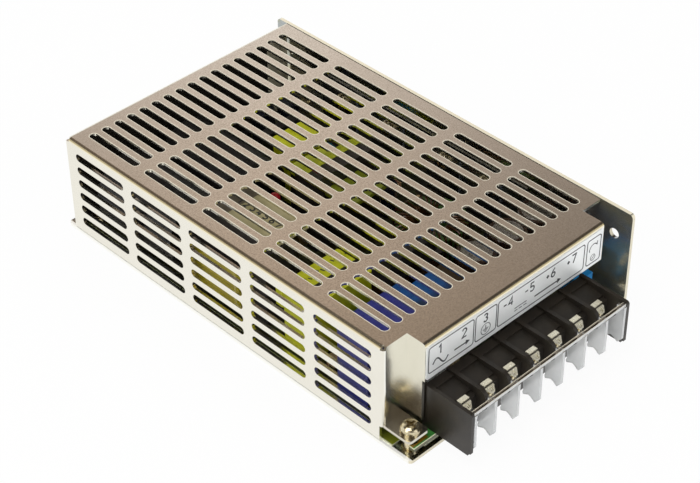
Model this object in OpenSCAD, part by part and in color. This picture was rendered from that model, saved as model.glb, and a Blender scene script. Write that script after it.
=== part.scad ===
// Mesh case switching power supply: a folded zinc chassis, a slotted cover and the board between them.
// Millimetres, +Z up. The origin is on the underside of the chassis, at the middle of its footprint.
// The terminals face -Y, the slotted side wall faces -X and the chassis wall stands at +X.

/* [Case] */
// Length of the chassis along Y
case_length = 159; // [157:1:180]
// Overall width along X
case_width = 98; // [97:1:110]
// Height from the underside of the chassis to the top of the cover
case_height = 38; // [37.5:0.5:46]
// Sheet thickness of the chassis
chassis_gauge = 1.2; // [1:0.1:1.4]
// Sheet thickness of the cover
cover_gauge = 1; // [0.8:0.1:1.2]
// How far the chassis reaches past the cover at each end
chassis_reach = 4; // [3:0.5:5]
// Radius of the chassis corners seen flat
chassis_corner = 1.5; // [1:0.5:4]
// Outer radius of the chassis fold
chassis_fold = 1.6; // [1.5:0.1:2.2]
// Outer radius of the folds of the cover
cover_fold = 1.3; // [1.3:0.1:1.8]

/* [Vents] */
// Length of one slot from tip to tip
vent_length = 23.8; // [18:0.2:25]
// Width of one slot
vent_width = 2.9; // [2.2:0.1:3.4]
// Metal left between the slot tips of two columns
vent_bridge = 3.84; // [3.2:0.02:6]
// Distance between the middles of two rows
vent_row_pitch = 5.19; // [4.8:0.01:7]
// From the left edge of the top to its first row
top_first_row = 6.8; // [6:0.1:9]
// From the top down to the first row of the side
side_first_row = 5.5; // [5:0.1:8]
// From the rear edge of the cover to the first slot tips
vent_rear_margin = 4.6; // [4:0.1:8]

/* [Front of the cover] */
// Width of the corner that is cut out of the top at the left
left_notch_width = 9.6; // [9.2:0.1:10]
// Depth of the left corner cut-out
left_notch_depth = 7.3; // [7:0.1:8]
// Width of the corner that is cut out at the wall
right_notch_width = 8.4; // [7:0.1:9]
// Depth of the corner cut-out at the wall
right_notch_depth = 8.6; // [7:0.1:10]
// Height of the label flap
flap_height = 14.2; // [12:0.1:15]
// Height of the foot under the left front corner
foot_height = 8; // [7.6:0.1:9]
// Length of the foot in front of its upright
foot_length = 10.4; // [9.8:0.1:10.8]

/* [Board] */
// Gap between the chassis and the circuit board
board_lift = 1.8; // [1.6:0.1:2.2]
// Thickness of the circuit board
board_thickness = 1.6; // [1.2:0.1:1.8]
// Gap between the corner pillar and the cut-out of the board around it
pillar_gap = 0.4; // [0.3:0.05:0.6]
// Thickness of the insulating sheet under the board
sheet_thickness = 0.3; // [0.2:0.05:0.5]

/* [Terminal block] */
// Number of terminals
terminal_count = 7; // [3:1:7]
// Distance between two terminals, less where the case is too narrow for it
terminal_pitch = 9.9; // [9:0.1:10]
// Thickness of a barrier
barrier_thickness = 1.4; // [1.2:0.1:1.8]
// Thickness of an end wall
end_wall_thickness = 1.2; // [1:0.1:1.6]
// Height of the block above the board
block_height = 16.4; // [15.8:0.1:17]
// Length of the end walls from the back of the block to the front
block_depth = 19; // [18.8:0.1:21]
// Width of a wire clamp
clamp_width = 3.6; // [3.2:0.1:4.4]

/* [Terminal cover] */
// Depth of the hinge beam
beam_depth = 1.2; // [1:0.1:2]
// Height of the hinge beam
beam_height = 1; // [0.9:0.1:1.6]
// Thickness of a fin
fin_thickness = 1; // [0.8:0.1:1.2]
// Radius of the hinge pins
hinge_pin_radius = 0.4; // [0.3:0.05:0.45]

/* [Large components] */
// Diameter of a bulk capacitor
bulk_diameter = 25; // [20:0.5:25]
// Length of a bulk capacitor
bulk_length = 36; // [30:0.5:37]
// Width of the main transformer's winding
main_winding_width = 24; // [20:0.5:24.5]
// Length of the main transformer's core
main_core_length = 36; // [30:0.5:36.5]
// Height of the main transformer above the board
main_height = 27; // [22:0.5:28]
// Width of the second transformer's core
second_core_width = 27; // [24:0.5:28]
// Height of the second transformer above the board
second_height = 28; // [22:0.5:28]
// Outer diameter of the output choke
output_choke_diameter = 24; // [20:0.5:25]
// Thickness of the heat spreader
spreader_thickness = 3; // [2.5:0.1:4]

/* [Hidden] */
$fn = 48;

// Running and fitting clearances
slip = 0.05;
seat_gap = 0.2;
pocket_play = 0.1;

// Case, worked out from the driving sizes
left_face = -case_width / 2;
right_face = case_width / 2;
chassis_front = -case_length / 2;
wall_inner = right_face - chassis_gauge;
cover_length = case_length - 2 * chassis_reach;
cover_front = -cover_length / 2;
cover_rear = cover_length / 2;
cover_right = wall_inner - 0.4;
ceiling = case_height - cover_gauge;
side_bottom = chassis_gauge + 0.4;
side_front = cover_front + left_notch_depth;
joggle_x = left_face + left_notch_width;
flap_right = cover_right - right_notch_width;
flange_height = 11;
flange_end_margin = 9;
flange_front = cover_front + right_notch_depth + 5;

// Vents, worked out from the driving sizes
vent_front_margin = 10;
column_pitch = vent_length + vent_bridge;
column_room = cover_length - vent_rear_margin - vent_front_margin + vent_bridge;
column_count = floor(column_room / column_pitch);
top_row_count = floor((cover_right - left_face - top_first_row - 5.4) / vent_row_pitch) + 1;
side_row_count = floor((case_height - side_bottom - side_first_row - 3.6) / vent_row_pitch) + 1;

// Fasteners
m3_radius = 1.5;
m3_passage = 1.8;
mount_hole_radius = 1.75;
mount_spacing = [70, 120];
wall_hole_radius = 1.8;
wall_hole_inset = 6.4;
wall_hole_drop = 10.2;
flat_head_radius = 2.6;
flat_screw_length = 4;
pan_head = [3.1, 2.3];
small_head = [1.2, 0.9];
pillar_radius = 2.1;
pillar_base = [2.7, 0.5];
pillar_floor = chassis_gauge + 0.8;
pillar_x = left_face + 4.4;
pillar_y = side_front - 7;
washer_radius = 3.2;
washer_thickness = 0.5;

// Board
board_bottom = chassis_gauge + board_lift;
board_top = board_bottom + board_thickness;
board_left = left_face + cover_gauge + 0.6;
sheet_left = left_face + cover_gauge - 0.1;
board_right = wall_inner - 0.8;
board_front = chassis_front + 0.8;
board_rear = cover_rear - cover_gauge - 0.8;
board_screw_inset = 4;
spacer_radius = 3;
board_screw_at = [[board_left + board_screw_inset, board_rear - board_screw_inset],
    [board_right - board_screw_inset, board_rear - board_screw_inset],
    [board_right - board_screw_inset, board_front + board_screw_inset]];

// Terminal block, measured from its back face and from the board
block_rear = cover_front + 2;
block_left = joggle_x + 1.6;
block_room = board_right - board_screw_inset - pan_head[0] - 0.5 - block_left;
pitch = min(terminal_pitch,
    (block_room + barrier_thickness - 2 * end_wall_thickness) / terminal_count);
block_width = terminal_count * pitch - barrier_thickness + 2 * end_wall_thickness;
block_inner_left = block_left + end_wall_thickness;
block_inner_right = block_left + block_width - end_wall_thickness;
first_bay = block_inner_left + (pitch - barrier_thickness) / 2;
end_wall_corner = 1;
body_depth = 11.6;
barrier_depth = block_depth - 3.4;
barrier_drop = 0.2;
nose_radius = 2.8;
nose_bottom = 10.9;
belly = [body_depth + 0.4, 6.9];
shelf_height = block_height - 3;
shelf_depth = 2;
clamp_thickness = 0.5;
clamp_drop = 4.8;
clamp_screw_drop = 3.2;
clamp_tab = 0.4;
tongue_reach = 1.9;
tongue_tip = 1.4;

// Terminal cover
pin_reach = 0.7;
pin_y = block_rear - block_depth + beam_depth / 2 + 0.3;
pin_z = board_top + block_height - beam_height / 2 - 0.3;
fin_gap = 0.5;
fin_back = body_depth + 1;

// Parts on the heat spreader
spreader_x = wall_inner - spreader_thickness;
spreader_middle = 8;
spreader_length = 92;
spreader_height = case_height - flange_height - board_top - 2 * seat_gap;
device_screw_z = board_top + spreader_height - 3.4;
device_body = [4.4, 10, 9];
device_lift = device_screw_z - board_top - 12.6;
tab_thickness = 1.3;
tab_top = device_screw_z - board_top + 2.8;
pad_thickness = 0.3;
transistor_y = [spreader_middle + 34, spreader_middle + 12];
diode_y = [spreader_middle - 14, spreader_middle - 32];
device_y = concat(transistor_y, diode_y);
device_face = spreader_x - pad_thickness - device_body[0];
low_screw_z = board_top + spreader_height / 2;
wall_screw_at = [[48, case_height - 6], [-48, case_height - 6],
    [spreader_middle + 23, low_screw_z], [spreader_middle - 23, low_screw_z]];

// Sizes of the parts on the board
blue_boxes = [[26.5, 13, 25], [15.5, 11, 23]];
yellow_boxes = [[26.5, 11.5, 21.5], [15.5, 10, 24]];
disc_radius = 5;
disc_thickness = 3.4;
small_disc = [4.4, 3];
bulk_lead_reach = 1.2;
main_core_width = 12;
main_leg = 12;
main_yoke = 5;
main_window = (main_core_length - 2 * main_leg) / 2;
second_core_depth = 9;
second_leg = 9;
second_yoke = 5;
second_window = (second_core_width - 2 * second_leg) / 2;
second_coil_reach = 9.5;
filter_core = [20, 8, 22];
filter_leg = 5;
filter_window = filter_core[2] - 2 * filter_leg;
filter_base = 1;
filter_build = 2.2;
filter_width = filter_core[0] + 2 * (filter_build + seat_gap);
choke_height = 11;
choke_lift = 1.4;
choke_wire = 0.9;
choke_width = output_choke_diameter + 2 * (choke_wire + pocket_play);
bridge_size = [20, 3.6, 15];
output_can = [6.25, 26];
small_can = [3.1, 12];
rear_can = [4, 15];
varistor_size = [5.5, 4];
thermistor_size = [6, 4.4];
fuse_length = 20;
fuse_radius = 2.6;
fuse_z = board_top + 3 + fuse_radius;
cap_length = 5;
chip_size = [19, 6.2, 3.4];
coupler_size = [5, 5, 3.4];
trimmer_size = [7, 7, 10];
rotor_radius = 2.2;
rotor_z = board_top + 6.2;

// Parts in a row keep their sizes and share out the room that is left. A share is the part of that
// room in front of a piece.
function total(list, count) = count == 0 ? 0 : list[count - 1] + total(list, count - 1);
function place(from, to, sizes, shares, i) = from + total(sizes, i)
    + (to - from - total(sizes, len(sizes))) * total(shares, i + 1);

// Along Y at the left: fuse, blue box, discs, yellow box, main transformer, bulk capacitors
bulk_rear = board_rear - 2 * board_screw_inset - 0.4;
function left_row(i) = place(block_rear, bulk_rear,
    [13.5, blue_boxes[0][1], 2 * disc_radius, yellow_boxes[0][1], main_core_length, bulk_length],
    [0, 0.16, 0.065, 0.065, 0.58, 0.13], i);
// Along Y at the right: chip, output capacitors, small capacitors, choke, second transformer,
// yellow box, bridge rectifier, rear parts
function right_row(i) = place(block_rear, board_rear,
    [15, 2 * output_can[0], 2 * small_can[0], choke_width, second_core_depth + 2 * second_coil_reach,
        yellow_boxes[1][1], bridge_size[1], 20],
    [0, 0.05, 0.125, 0.125, 0.11, 0.125, 0.265, 0.2], i);

// Across X from the front to the rear
function front_column(i) = place(joggle_x + cover_gauge, board_right,
    [fuse_length, thermistor_size[1], coupler_size[0], chip_size[0], trimmer_size[0]],
    [0.08, 0.193, 0.177, 0.133, 0.233], i);
function output_column(i) = place(board_left, cover_right - cover_gauge,
    [blue_boxes[0][0], blue_boxes[1][0], 2 * output_can[0], 2 * output_can[0], 2 * output_can[0]],
    [0.238, 0.14, 0.192, 0.105, 0.105], i);
function choke_column(i) = place(board_left, device_face,
    [yellow_boxes[0][0], filter_width, choke_width], [0.43, 0.206, -0.04], i);
function transformer_column(i) = place(board_left, device_face,
    [main_winding_width, varistor_size[1], second_core_width, 2 * small_can[0]],
    [0.053, 0.19, 0.323, 0.129], i);
function bulk_column(i) = place(board_left, device_face,
    [bulk_diameter, bulk_diameter, yellow_boxes[1][0], small_disc[1]], [0.032, 0.074, 0.1, 0.237], i);

fuse_at = [front_column(0) + fuse_length / 2, block_rear + 6];
chip_at = [front_column(3) + chip_size[0] / 2, block_rear + 8.5];
trimmer_at = [front_column(4) + trimmer_size[0] / 2, block_rear + 6];
disc_y = left_row(2) + disc_radius;
line_filter_at = [choke_column(1) + filter_width / 2, left_row(3) + 0.5];
choke_at = [choke_column(2) + choke_width / 2, right_row(3) + choke_width / 2];
main_x = transformer_column(0) + main_winding_width / 2;
main_y = left_row(4) + main_core_length / 2;
second_at = [transformer_column(2) + second_core_width / 2,
    right_row(4) + second_core_depth / 2 + second_coil_reach];
bulk_x = [bulk_column(0) + bulk_diameter / 2, bulk_column(1) + bulk_diameter / 2];
output_y = right_row(1) + output_can[0];
small_can_at = [[choke_at[0] + 8, right_row(2) + small_can[0]],
    [choke_at[0] + 15, right_row(2) + small_can[0]],
    [transformer_column(3) + 1.1, second_at[1] - 6.5], [transformer_column(3) + 3.1, second_at[1] + 5],
    [second_at[0] - second_core_width / 2 - 4.2, left_row(5) - 9.3]];
rear_left = bulk_column(2);
rear_front = right_row(7);
rear_can_at = [[rear_left + 27.5, rear_front + 6.3], [rear_left + 17.5, rear_front + 8.3]];

// Flat outlines and ways to extrude them
module slot(length, width) {
    for (y = [width / 2, length - width / 2]) translate([0, y]) circle(d = width);
    translate([-width / 2, width / 2]) square([width, length - width]);
}

module rounded_rect(size, radius) {
    translate([radius, 0]) square([size[0] - 2 * radius, size[1]]);
    translate([0, radius]) square([size[0], size[1] - 2 * radius]);
    for (x = [radius, size[0] - radius], y = [radius, size[1] - radius])
        translate([x, y]) circle(r = radius);
}

module tab_outline(length, reach, radius) {
    square([length, reach - radius]);
    translate([radius, 0]) square([length - 2 * radius, reach]);
    for (x = [radius, length - radius]) translate([x, reach - radius]) circle(r = radius);
}

module fold_section(radius, gauge) {
    intersection() {
        difference() {
            circle(r = radius);
            circle(r = radius - gauge);
        }
        square(radius);
    }
}

module along_x(from, length) {
    translate([from, 0, 0]) rotate([90, 0, 90]) linear_extrude(length) children();
}

module along_y(from, length) {
    translate([0, from + length, 0]) rotate([90, 0, 0]) linear_extrude(length) children();
}

module rod_x(at, radius, length) {
    translate(at) rotate([0, 90, 0]) cylinder(r = radius, h = length);
}

module rod_y(at, radius, length) {
    translate(at) rotate([-90, 0, 0]) cylinder(r = radius, h = length);
}

module rod_z(at, radius, length) {
    translate(at) cylinder(r = radius, h = length);
}

module block_at(from, size) {
    translate(from) cube(size);
}

// A rectangular tube around an opening, centred on it
module ring_outline(inner, wall, radius) {
    difference() {
        translate([-inner[0] / 2 - wall, -inner[1] / 2 - wall])
            rounded_rect([inner[0] + 2 * wall, inner[1] + 2 * wall], radius);
        translate([-inner[0] / 2, -inner[1] / 2]) square(inner);
    }
}

// A frame with a middle leg, centred on its width, standing on the X axis
module core_outline(size, leg, yoke) {
    window = (size[0] - 2 * leg) / 2;
    difference() {
        translate([-size[0] / 2, 0]) square(size);
        for (from = [-leg / 2 - window, leg / 2])
            translate([from, yoke]) square([window, size[1] - 2 * yoke]);
    }
}

// Hardware
module pan_head(head) {
    difference() {
        rotate_extrude() polygon([[0, 0], [head[0], 0], [head[0], head[1] * 0.35],
            [head[0] * 0.95, head[1] * 0.6], [head[0] * 0.82, head[1] * 0.82],
            [head[0] * 0.6, head[1] * 0.95], [head[0] * 0.35, head[1]], [0, head[1]]]);
        for (turn = [0, 90])
            rotate(turn) translate([-head[0] * 0.58, -head[0] * 0.13, head[1] * 0.45])
                cube([head[0] * 1.16, head[0] * 0.26, head[1]]);
    }
}

module pan_screw(head, shank_radius, shank_length) {
    pan_head(head);
    translate([0, 0, -shank_length]) cylinder(r = shank_radius, h = shank_length);
}

// A flat-head screw along X, its outer face at x = 0
module flat_screw() {
    rotate([0, 90, 0]) rotate_extrude() polygon([[0, -flat_screw_length],
        [m3_radius, -flat_screw_length], [m3_radius, -chassis_gauge], [flat_head_radius, 0], [0, 0]]);
}

// The countersunk hole for it
module countersink() {
    rotate([0, 90, 0]) rotate_extrude() polygon([[0, -chassis_gauge - 1],
        [m3_radius + pocket_play, -chassis_gauge - 1], [m3_radius + pocket_play, -chassis_gauge],
        [flat_head_radius + pocket_play, 0], [flat_head_radius + pocket_play, 1], [0, 1]]);
}

// Component bodies
module can(radius, height) {
    rotate_extrude() polygon([
        [0, 0], [radius * 0.94, 0], [radius, radius * 0.08], [radius, radius * 0.22],
        [radius * 0.93, radius * 0.3], [radius, radius * 0.38], [radius, height - radius * 0.06],
        [radius * 0.94, height], [radius * 0.84, height], [radius * 0.82, height - 0.4],
        [0, height - 0.4]]);
}

module film_box(from, size) {
    translate([from[0], from[1], board_top]) {
        translate([0, 0, 0.4]) linear_extrude(size[2] - 0.4) rounded_rect([size[0], size[1]], 0.6);
        for (x = [0.8, size[0] - 1.6])
            translate([x, 0.8, 0]) cube([0.8, size[1] - 1.6, 0.4]);
    }
}

// A leaded disc standing on the board with its flat faces along X
module leaded_disc(at, radius, thickness, lead_drop) {
    centre_z = board_top + lead_drop + radius;
    rod_x([at[0] - thickness / 2, at[1], centre_z], radius, thickness);
    for (y = [-2.5, 2.5])
        rod_z([at[0], at[1] + y, board_top], 0.35, lead_drop + radius - sqrt(pow(radius, 2) - 6.25) + 0.3);
}

// A lying part with its axis along X, held by its two leads
module axial_part(at, radius, length, lift, lead_radius) {
    axis_z = board_top + lift + radius;
    rod_x([at[0] - length / 2, at[1], axis_z], radius, length);
    for (side = [-1, 1]) {
        lead_x = at[0] + side * (length / 2 + 1.6);
        rod_z([lead_x, at[1], board_top], lead_radius, lift + radius + lead_radius);
        rod_x([min(lead_x, at[0] + side * length / 2), at[1], axis_z], lead_radius, 1.6);
    }
}

// A power device with its tab against the pad and its legs on the board
module power_device(y) {
    back = spreader_x - pad_thickness;
    bottom = board_top + device_lift;
    difference() {
        block_at([back - tab_thickness, y - device_body[1] / 2, bottom + device_body[2]],
            [tab_thickness, device_body[1], tab_top - device_lift - device_body[2]]);
        rod_x([back - 2, y, device_screw_z], m3_passage, 3);
    }
    block_at([back - device_body[0], y - device_body[1] / 2, bottom], device_body);
    for (leg = [-2.54, 0, 2.54])
        block_at([back - 2.6, y + leg - 0.4, board_top], [0.5, 0.8, device_lift]);
}

module on_board(at) {
    translate([at[0], at[1], board_top]) children();
}

// Sheet metal
module chassis() {
    color("gainsboro") difference() {
        union() {
            translate([right_face - chassis_fold, chassis_front]) rotate(90)
                linear_extrude(chassis_gauge)
                    tab_outline(case_length, case_width - chassis_fold, chassis_corner);
            along_y(chassis_front, case_length)
                translate([right_face - chassis_fold, chassis_fold]) mirror([0, 1])
                    fold_section(chassis_fold, chassis_gauge);
            along_x(wall_inner, chassis_gauge) translate([chassis_front, chassis_fold])
                tab_outline(case_length, case_height - chassis_fold, chassis_corner);
        }
        for (x = [-0.5, 0.5], y = [-0.5, 0.5])
            rod_z([x * mount_spacing[0], y * mount_spacing[1], -1], mount_hole_radius,
                chassis_gauge + 2);
        for (y = [-1, 1])
            rod_x([wall_inner - 1, y * (case_length / 2 - wall_hole_inset),
                case_height - wall_hole_drop], wall_hole_radius, chassis_gauge + 2);
        for (at = wall_screw_at)
            translate([right_face, at[0], at[1]]) countersink();
    }
}

module cover_shell() {
    top_reach = cover_right - left_face;
    // Top, left fold and slotted side
    along_y(side_front + cover_fold, cover_rear - side_front - 2 * cover_fold) {
        translate([left_face + cover_fold, ceiling]) square([top_reach - cover_fold, cover_gauge]);
        translate([left_face + cover_fold, case_height - cover_fold]) mirror([1, 0])
            fold_section(cover_fold, cover_gauge);
        translate([left_face, side_bottom])
            square([cover_gauge, case_height - cover_fold - side_bottom]);
    }
    block_at([left_face, cover_rear - cover_fold, side_bottom],
        [cover_gauge, cover_fold, case_height - cover_fold - side_bottom]);
    // Top beside and in front of the left corner cut-out
    block_at([left_face + cover_fold, side_front, ceiling],
        [top_reach - cover_fold, cover_fold, cover_gauge]);
    block_at([joggle_x, cover_front + cover_fold, ceiling],
        [cover_right - joggle_x, left_notch_depth - cover_fold, cover_gauge]);
    // Label flap and its fold
    along_x(joggle_x, flap_right - joggle_x) {
        translate([cover_front + cover_fold, case_height - cover_fold]) mirror([1, 0])
            fold_section(cover_fold, cover_gauge);
        translate([cover_front, case_height - flap_height])
            square([cover_gauge, flap_height - cover_fold]);
    }
    // Rear wall and its fold
    along_x(left_face + cover_fold, cover_right - left_face - cover_fold)
        translate([cover_rear - cover_fold, case_height - cover_fold])
            fold_section(cover_fold, cover_gauge);
    block_at([left_face + cover_fold, cover_rear - cover_gauge, side_bottom],
        [flap_right - left_face - cover_fold, cover_gauge,
            case_height - cover_fold - side_bottom]);
    // Flange along the chassis wall
    block_at([cover_right - cover_gauge, flange_front, case_height - flange_height],
        [cover_gauge, cover_rear - flange_end_margin - flange_front, flange_height - cover_gauge]);
}

// The side wall turns in and forward again at the left front corner, and ends in a foot
module cover_corner() {
    return_bottom = foot_height - cover_gauge;
    translate([left_face + cover_fold, side_front + cover_fold, return_bottom]) rotate(180)
        linear_extrude(case_height - cover_fold - return_bottom) fold_section(cover_fold, cover_gauge);
    block_at([left_face + cover_fold, side_front, return_bottom],
        [left_notch_width - cover_fold + cover_gauge, cover_gauge, ceiling - return_bottom]);
    block_at([joggle_x, cover_front + cover_gauge, foot_height],
        [cover_gauge, left_notch_depth - cover_gauge, ceiling - foot_height]);
    translate([left_face + 0.4, side_front, return_bottom]) mirror([0, 1])
        linear_extrude(cover_gauge) tab_outline(left_notch_width - 1.2, foot_length, 1.2);
}

module cover() {
    color("#b5a18c") difference() {
        union() {
            cover_shell();
            cover_corner();
        }
        for (column = [0 : column_count - 1]) {
            column_front = cover_rear - vent_rear_margin - vent_length - column * column_pitch;
            for (row = [0 : top_row_count - 1])
                translate([left_face + top_first_row + row * vent_row_pitch, column_front, ceiling - 1])
                    linear_extrude(cover_gauge + 2) slot(vent_length, vent_width);
            for (row = [0 : side_row_count - 1])
                translate([left_face - 1, column_front,
                    case_height - side_first_row - row * vent_row_pitch])
                    rotate([0, 90, 0]) linear_extrude(cover_gauge + 2) slot(vent_length, vent_width);
        }
        block_at([flap_right, cover_front - 1, case_height - flange_height - 1],
            [right_notch_width + 1, right_notch_depth + 1, flange_height + 2]);
        rod_z([pillar_x, pillar_y, foot_height - cover_gauge - 1], m3_radius + 0.3, cover_gauge + 2);
        for (at = wall_screw_at) if (at[1] > case_height - flange_height)
            rod_x([cover_right - cover_gauge - 1, at[0], at[1]], m3_radius + slip, cover_gauge + 2);
    }
}

module front_label() {
    color("silver") along_y(cover_front - 0.2, 0.2)
        translate([joggle_x + 0.4, case_height - flap_height + 0.4])
            rounded_rect([flap_right - joggle_x - 0.8, flap_height - cover_fold - 0.5], 0.8);
}

module corner_pillar() {
    color("silver") translate([pillar_x, pillar_y, chassis_gauge]) difference() {
        union() {
            cylinder(r = pillar_radius, h = foot_height - cover_gauge - chassis_gauge);
            cylinder(r = pillar_base[0], h = pillar_base[1]);
        }
        translate([0, 0, pillar_floor - chassis_gauge]) cylinder(r = m3_radius + slip, h = foot_height);
    }
}

module corner_washer() {
    color("silver") translate([pillar_x, pillar_y, foot_height]) difference() {
        cylinder(r = washer_radius, h = washer_thickness);
        translate([0, 0, -1]) cylinder(r = m3_radius + 0.2, h = washer_thickness + 2);
    }
}

module corner_screw() {
    color("silver") translate([pillar_x, pillar_y, foot_height + washer_thickness])
        pan_screw(pan_head, m3_radius, foot_height + washer_thickness - pillar_floor - seat_gap);
}

module wall_screws() {
    color("dimgray") for (at = wall_screw_at)
        translate([right_face, at[0], at[1]]) flat_screw();
}

// Board and what holds it: the board is cut away beside the pillar, the sheet all around it
module insulating_sheet() {
    front = board_front + 1;
    cut_radius = pillar_base[0] + 0.7;
    color("khaki") translate([0, 0, chassis_gauge])
        linear_extrude(sheet_thickness) difference() {
            translate([sheet_left, front]) square([board_right - sheet_left, board_rear - front]);
            translate([left_face, front - 1])
                square([pillar_x + cut_radius - left_face, pillar_y + 4.2 - front + 1]);
            for (x = [-0.5, 0.5], y = [-0.5, 0.5])
                translate([x * mount_spacing[0], y * mount_spacing[1]])
                    circle(r = mount_hole_radius + pocket_play);
            for (at = board_screw_at) translate(at) circle(r = spacer_radius + 0.5);
        }
}

module circuit_board() {
    color("darkgreen") translate([0, 0, board_bottom]) linear_extrude(board_thickness) difference() {
        translate([board_left, board_front]) square([board_right - board_left, board_rear - board_front]);
        translate([pillar_x, pillar_y]) circle(r = pillar_radius + pillar_gap);
        translate([left_face, board_front - 1]) square([pillar_x - pillar_radius - left_face, 3]);
        translate([left_face, pillar_y - 1.8])
            square([pillar_x - left_face, side_front + 4 - pillar_y + 1.8]);
        for (at = board_screw_at) translate(at) circle(r = m3_radius + 0.15);
    }
}

module board_spacers() {
    color("silver") for (at = board_screw_at)
        translate([at[0], at[1], chassis_gauge]) difference() {
            cylinder(r = spacer_radius, h = board_lift);
            translate([0, 0, -1]) cylinder(r = m3_radius + slip, h = board_lift + 2);
        }
}

module board_screws() {
    color("silver") for (at = board_screw_at)
        on_board(at) pan_screw(pan_head, m3_radius, board_thickness + board_lift);
}

// Terminals: outlines are drawn as (depth in front of the back face, height above the board)
module block_outline() {
    translate([block_rear, board_top]) mirror([1, 0]) children();
}

module end_wall_outline() {
    square([block_depth - end_wall_corner, block_height]);
    translate([0, end_wall_corner]) square([block_depth, block_height - 2 * end_wall_corner]);
    translate([block_depth - end_wall_corner, block_height - end_wall_corner])
        circle(r = end_wall_corner);
}

module barrier_outline() {
    top = block_height - barrier_drop;
    nose = barrier_depth - nose_radius;
    translate([nose, top - nose_radius]) circle(r = nose_radius);
    polygon([[0, 0], [0, top], [nose, top], [nose, top - nose_radius],
        [barrier_depth, top - nose_radius], [barrier_depth, nose_bottom], belly,
        [body_depth, belly[1]], [body_depth - 1, 0]]);
}

module body_outline() {
    polygon([[0, 0], [0, block_height - 0.8], [3.2, block_height - 0.8], [3.2, block_height - 1.7],
        [body_depth - shelf_depth, block_height - 2.4], [body_depth - shelf_depth, shelf_height],
        [body_depth, shelf_height], [body_depth, belly[1]], [body_depth - 1, 0]]);
}

module terminal_block() {
    color("#1d1b1a") difference() {
        union() {
            along_x(block_left, block_width) block_outline() body_outline();
            for (x = [block_left, block_inner_right])
                along_x(x, end_wall_thickness) block_outline() end_wall_outline();
            for (i = [1 : terminal_count - 1])
                along_x(block_inner_left - barrier_thickness + i * pitch, barrier_thickness)
                    block_outline() barrier_outline();
        }
        for (i = [0 : terminal_count - 1])
            rod_y([first_bay + i * pitch, block_rear - body_depth - 1,
                board_top + shelf_height - clamp_screw_drop], 1.05, 6);
        for (x = [block_inner_left - pin_reach - 0.2, block_inner_right])
            rod_x([x, pin_y, pin_z], hinge_pin_radius + slip, pin_reach + 0.2);
    }
}

module terminal_clamps() {
    color("silver") for (i = [0 : terminal_count - 1])
        translate([first_bay + i * pitch, block_rear - body_depth, board_top + shelf_height]) {
            // Tab on the shelf
            translate([-clamp_width / 2, 0.2, 0]) cube([clamp_width, shelf_depth - 0.3, clamp_tab]);
            // Plate under the screw with a forked tongue above it
            difference() {
                union() {
                    translate([-clamp_width / 2, -clamp_thickness, -clamp_drop])
                        cube([clamp_width, clamp_thickness, clamp_drop - clamp_tab]);
                    hull() {
                        translate([-clamp_width / 2, -clamp_thickness, -2 * clamp_tab])
                            cube([clamp_width, clamp_thickness, clamp_tab]);
                        translate([-tongue_tip / 2, -tongue_reach, -1.8]) cube([tongue_tip, 0.2, clamp_tab]);
                    }
                }
                rod_y([0, -clamp_thickness - 1, -clamp_screw_drop], 1.15, clamp_thickness + 2);
                translate([-0.45, 0.3 - tongue_reach, -2]) cube([0.9, 1, 2]);
            }
        }
}

module terminal_screws() {
    color("gainsboro") for (i = [0 : terminal_count - 1])
        translate([first_bay + i * pitch, block_rear - body_depth - clamp_thickness,
            board_top + shelf_height - clamp_screw_drop])
            rotate([90, 0, 0]) pan_screw(small_head, 1, 5);
}

module fin_outline() {
    back = barrier_depth + fin_gap;
    top = block_height - beam_height - 0.3;
    polygon([[back, top], [back, nose_bottom - 0.3], [fin_back, belly[1] - 0.3], [fin_back + 0.3, 3.2],
        [fin_back, 1.9], [fin_back + 0.3, 1.2], [fin_back + 1.4, 1.7], [fin_back + 2.4, 2.2],
        [fin_back + 3.4, 1.8], [block_depth - 1.9, 0.9], [block_depth - 1.4, 0.8], [block_depth, 2.6],
        [block_depth, top]]);
}

module terminal_cover() {
    inset = 0.2;
    from = block_inner_left + inset;
    to = block_inner_right - inset;
    color([0.85, 0.87, 0.88, 0.6]) {
        block_at([from, pin_y - beam_depth / 2, pin_z - beam_height / 2],
            [to - from, beam_depth, beam_height]);
        for (i = [1 : terminal_count - 1])
            along_x(block_inner_left - (barrier_thickness + fin_thickness) / 2 + i * pitch,
                fin_thickness) block_outline() fin_outline();
        for (x = [from, to - fin_thickness])
            along_x(x, fin_thickness) block_outline() fin_outline();
        for (x = [from - inset - pin_reach, to])
            rod_x([x, pin_y, pin_z], hinge_pin_radius, pin_reach + inset);
    }
}

module trimmer_body() {
    front = trimmer_at[1] - trimmer_size[1] / 2;
    color("dodgerblue") difference() {
        block_at([trimmer_at[0] - trimmer_size[0] / 2, front, board_top], trimmer_size);
        rod_y([trimmer_at[0], front - 1, rotor_z], rotor_radius + slip, 3.2);
    }
}

module trimmer_rotor() {
    front = trimmer_at[1] - trimmer_size[1] / 2 - 0.3;
    color("white") difference() {
        rod_y([trimmer_at[0], front, rotor_z], rotor_radius, 2.3);
        block_at([trimmer_at[0] - 1.7, front - 1, rotor_z - 0.3], [3.4, 1.7, 0.6]);
    }
}

// Mains side
module fuse() {
    left = fuse_at[0] - fuse_length / 2;
    color("lightgray") {
        rod_x([left, fuse_at[1], fuse_z], fuse_radius - 0.2, fuse_length);
        for (x = [left, left + fuse_length - cap_length])
            rod_x([x, fuse_at[1], fuse_z], fuse_radius, cap_length);
    }
}

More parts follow.
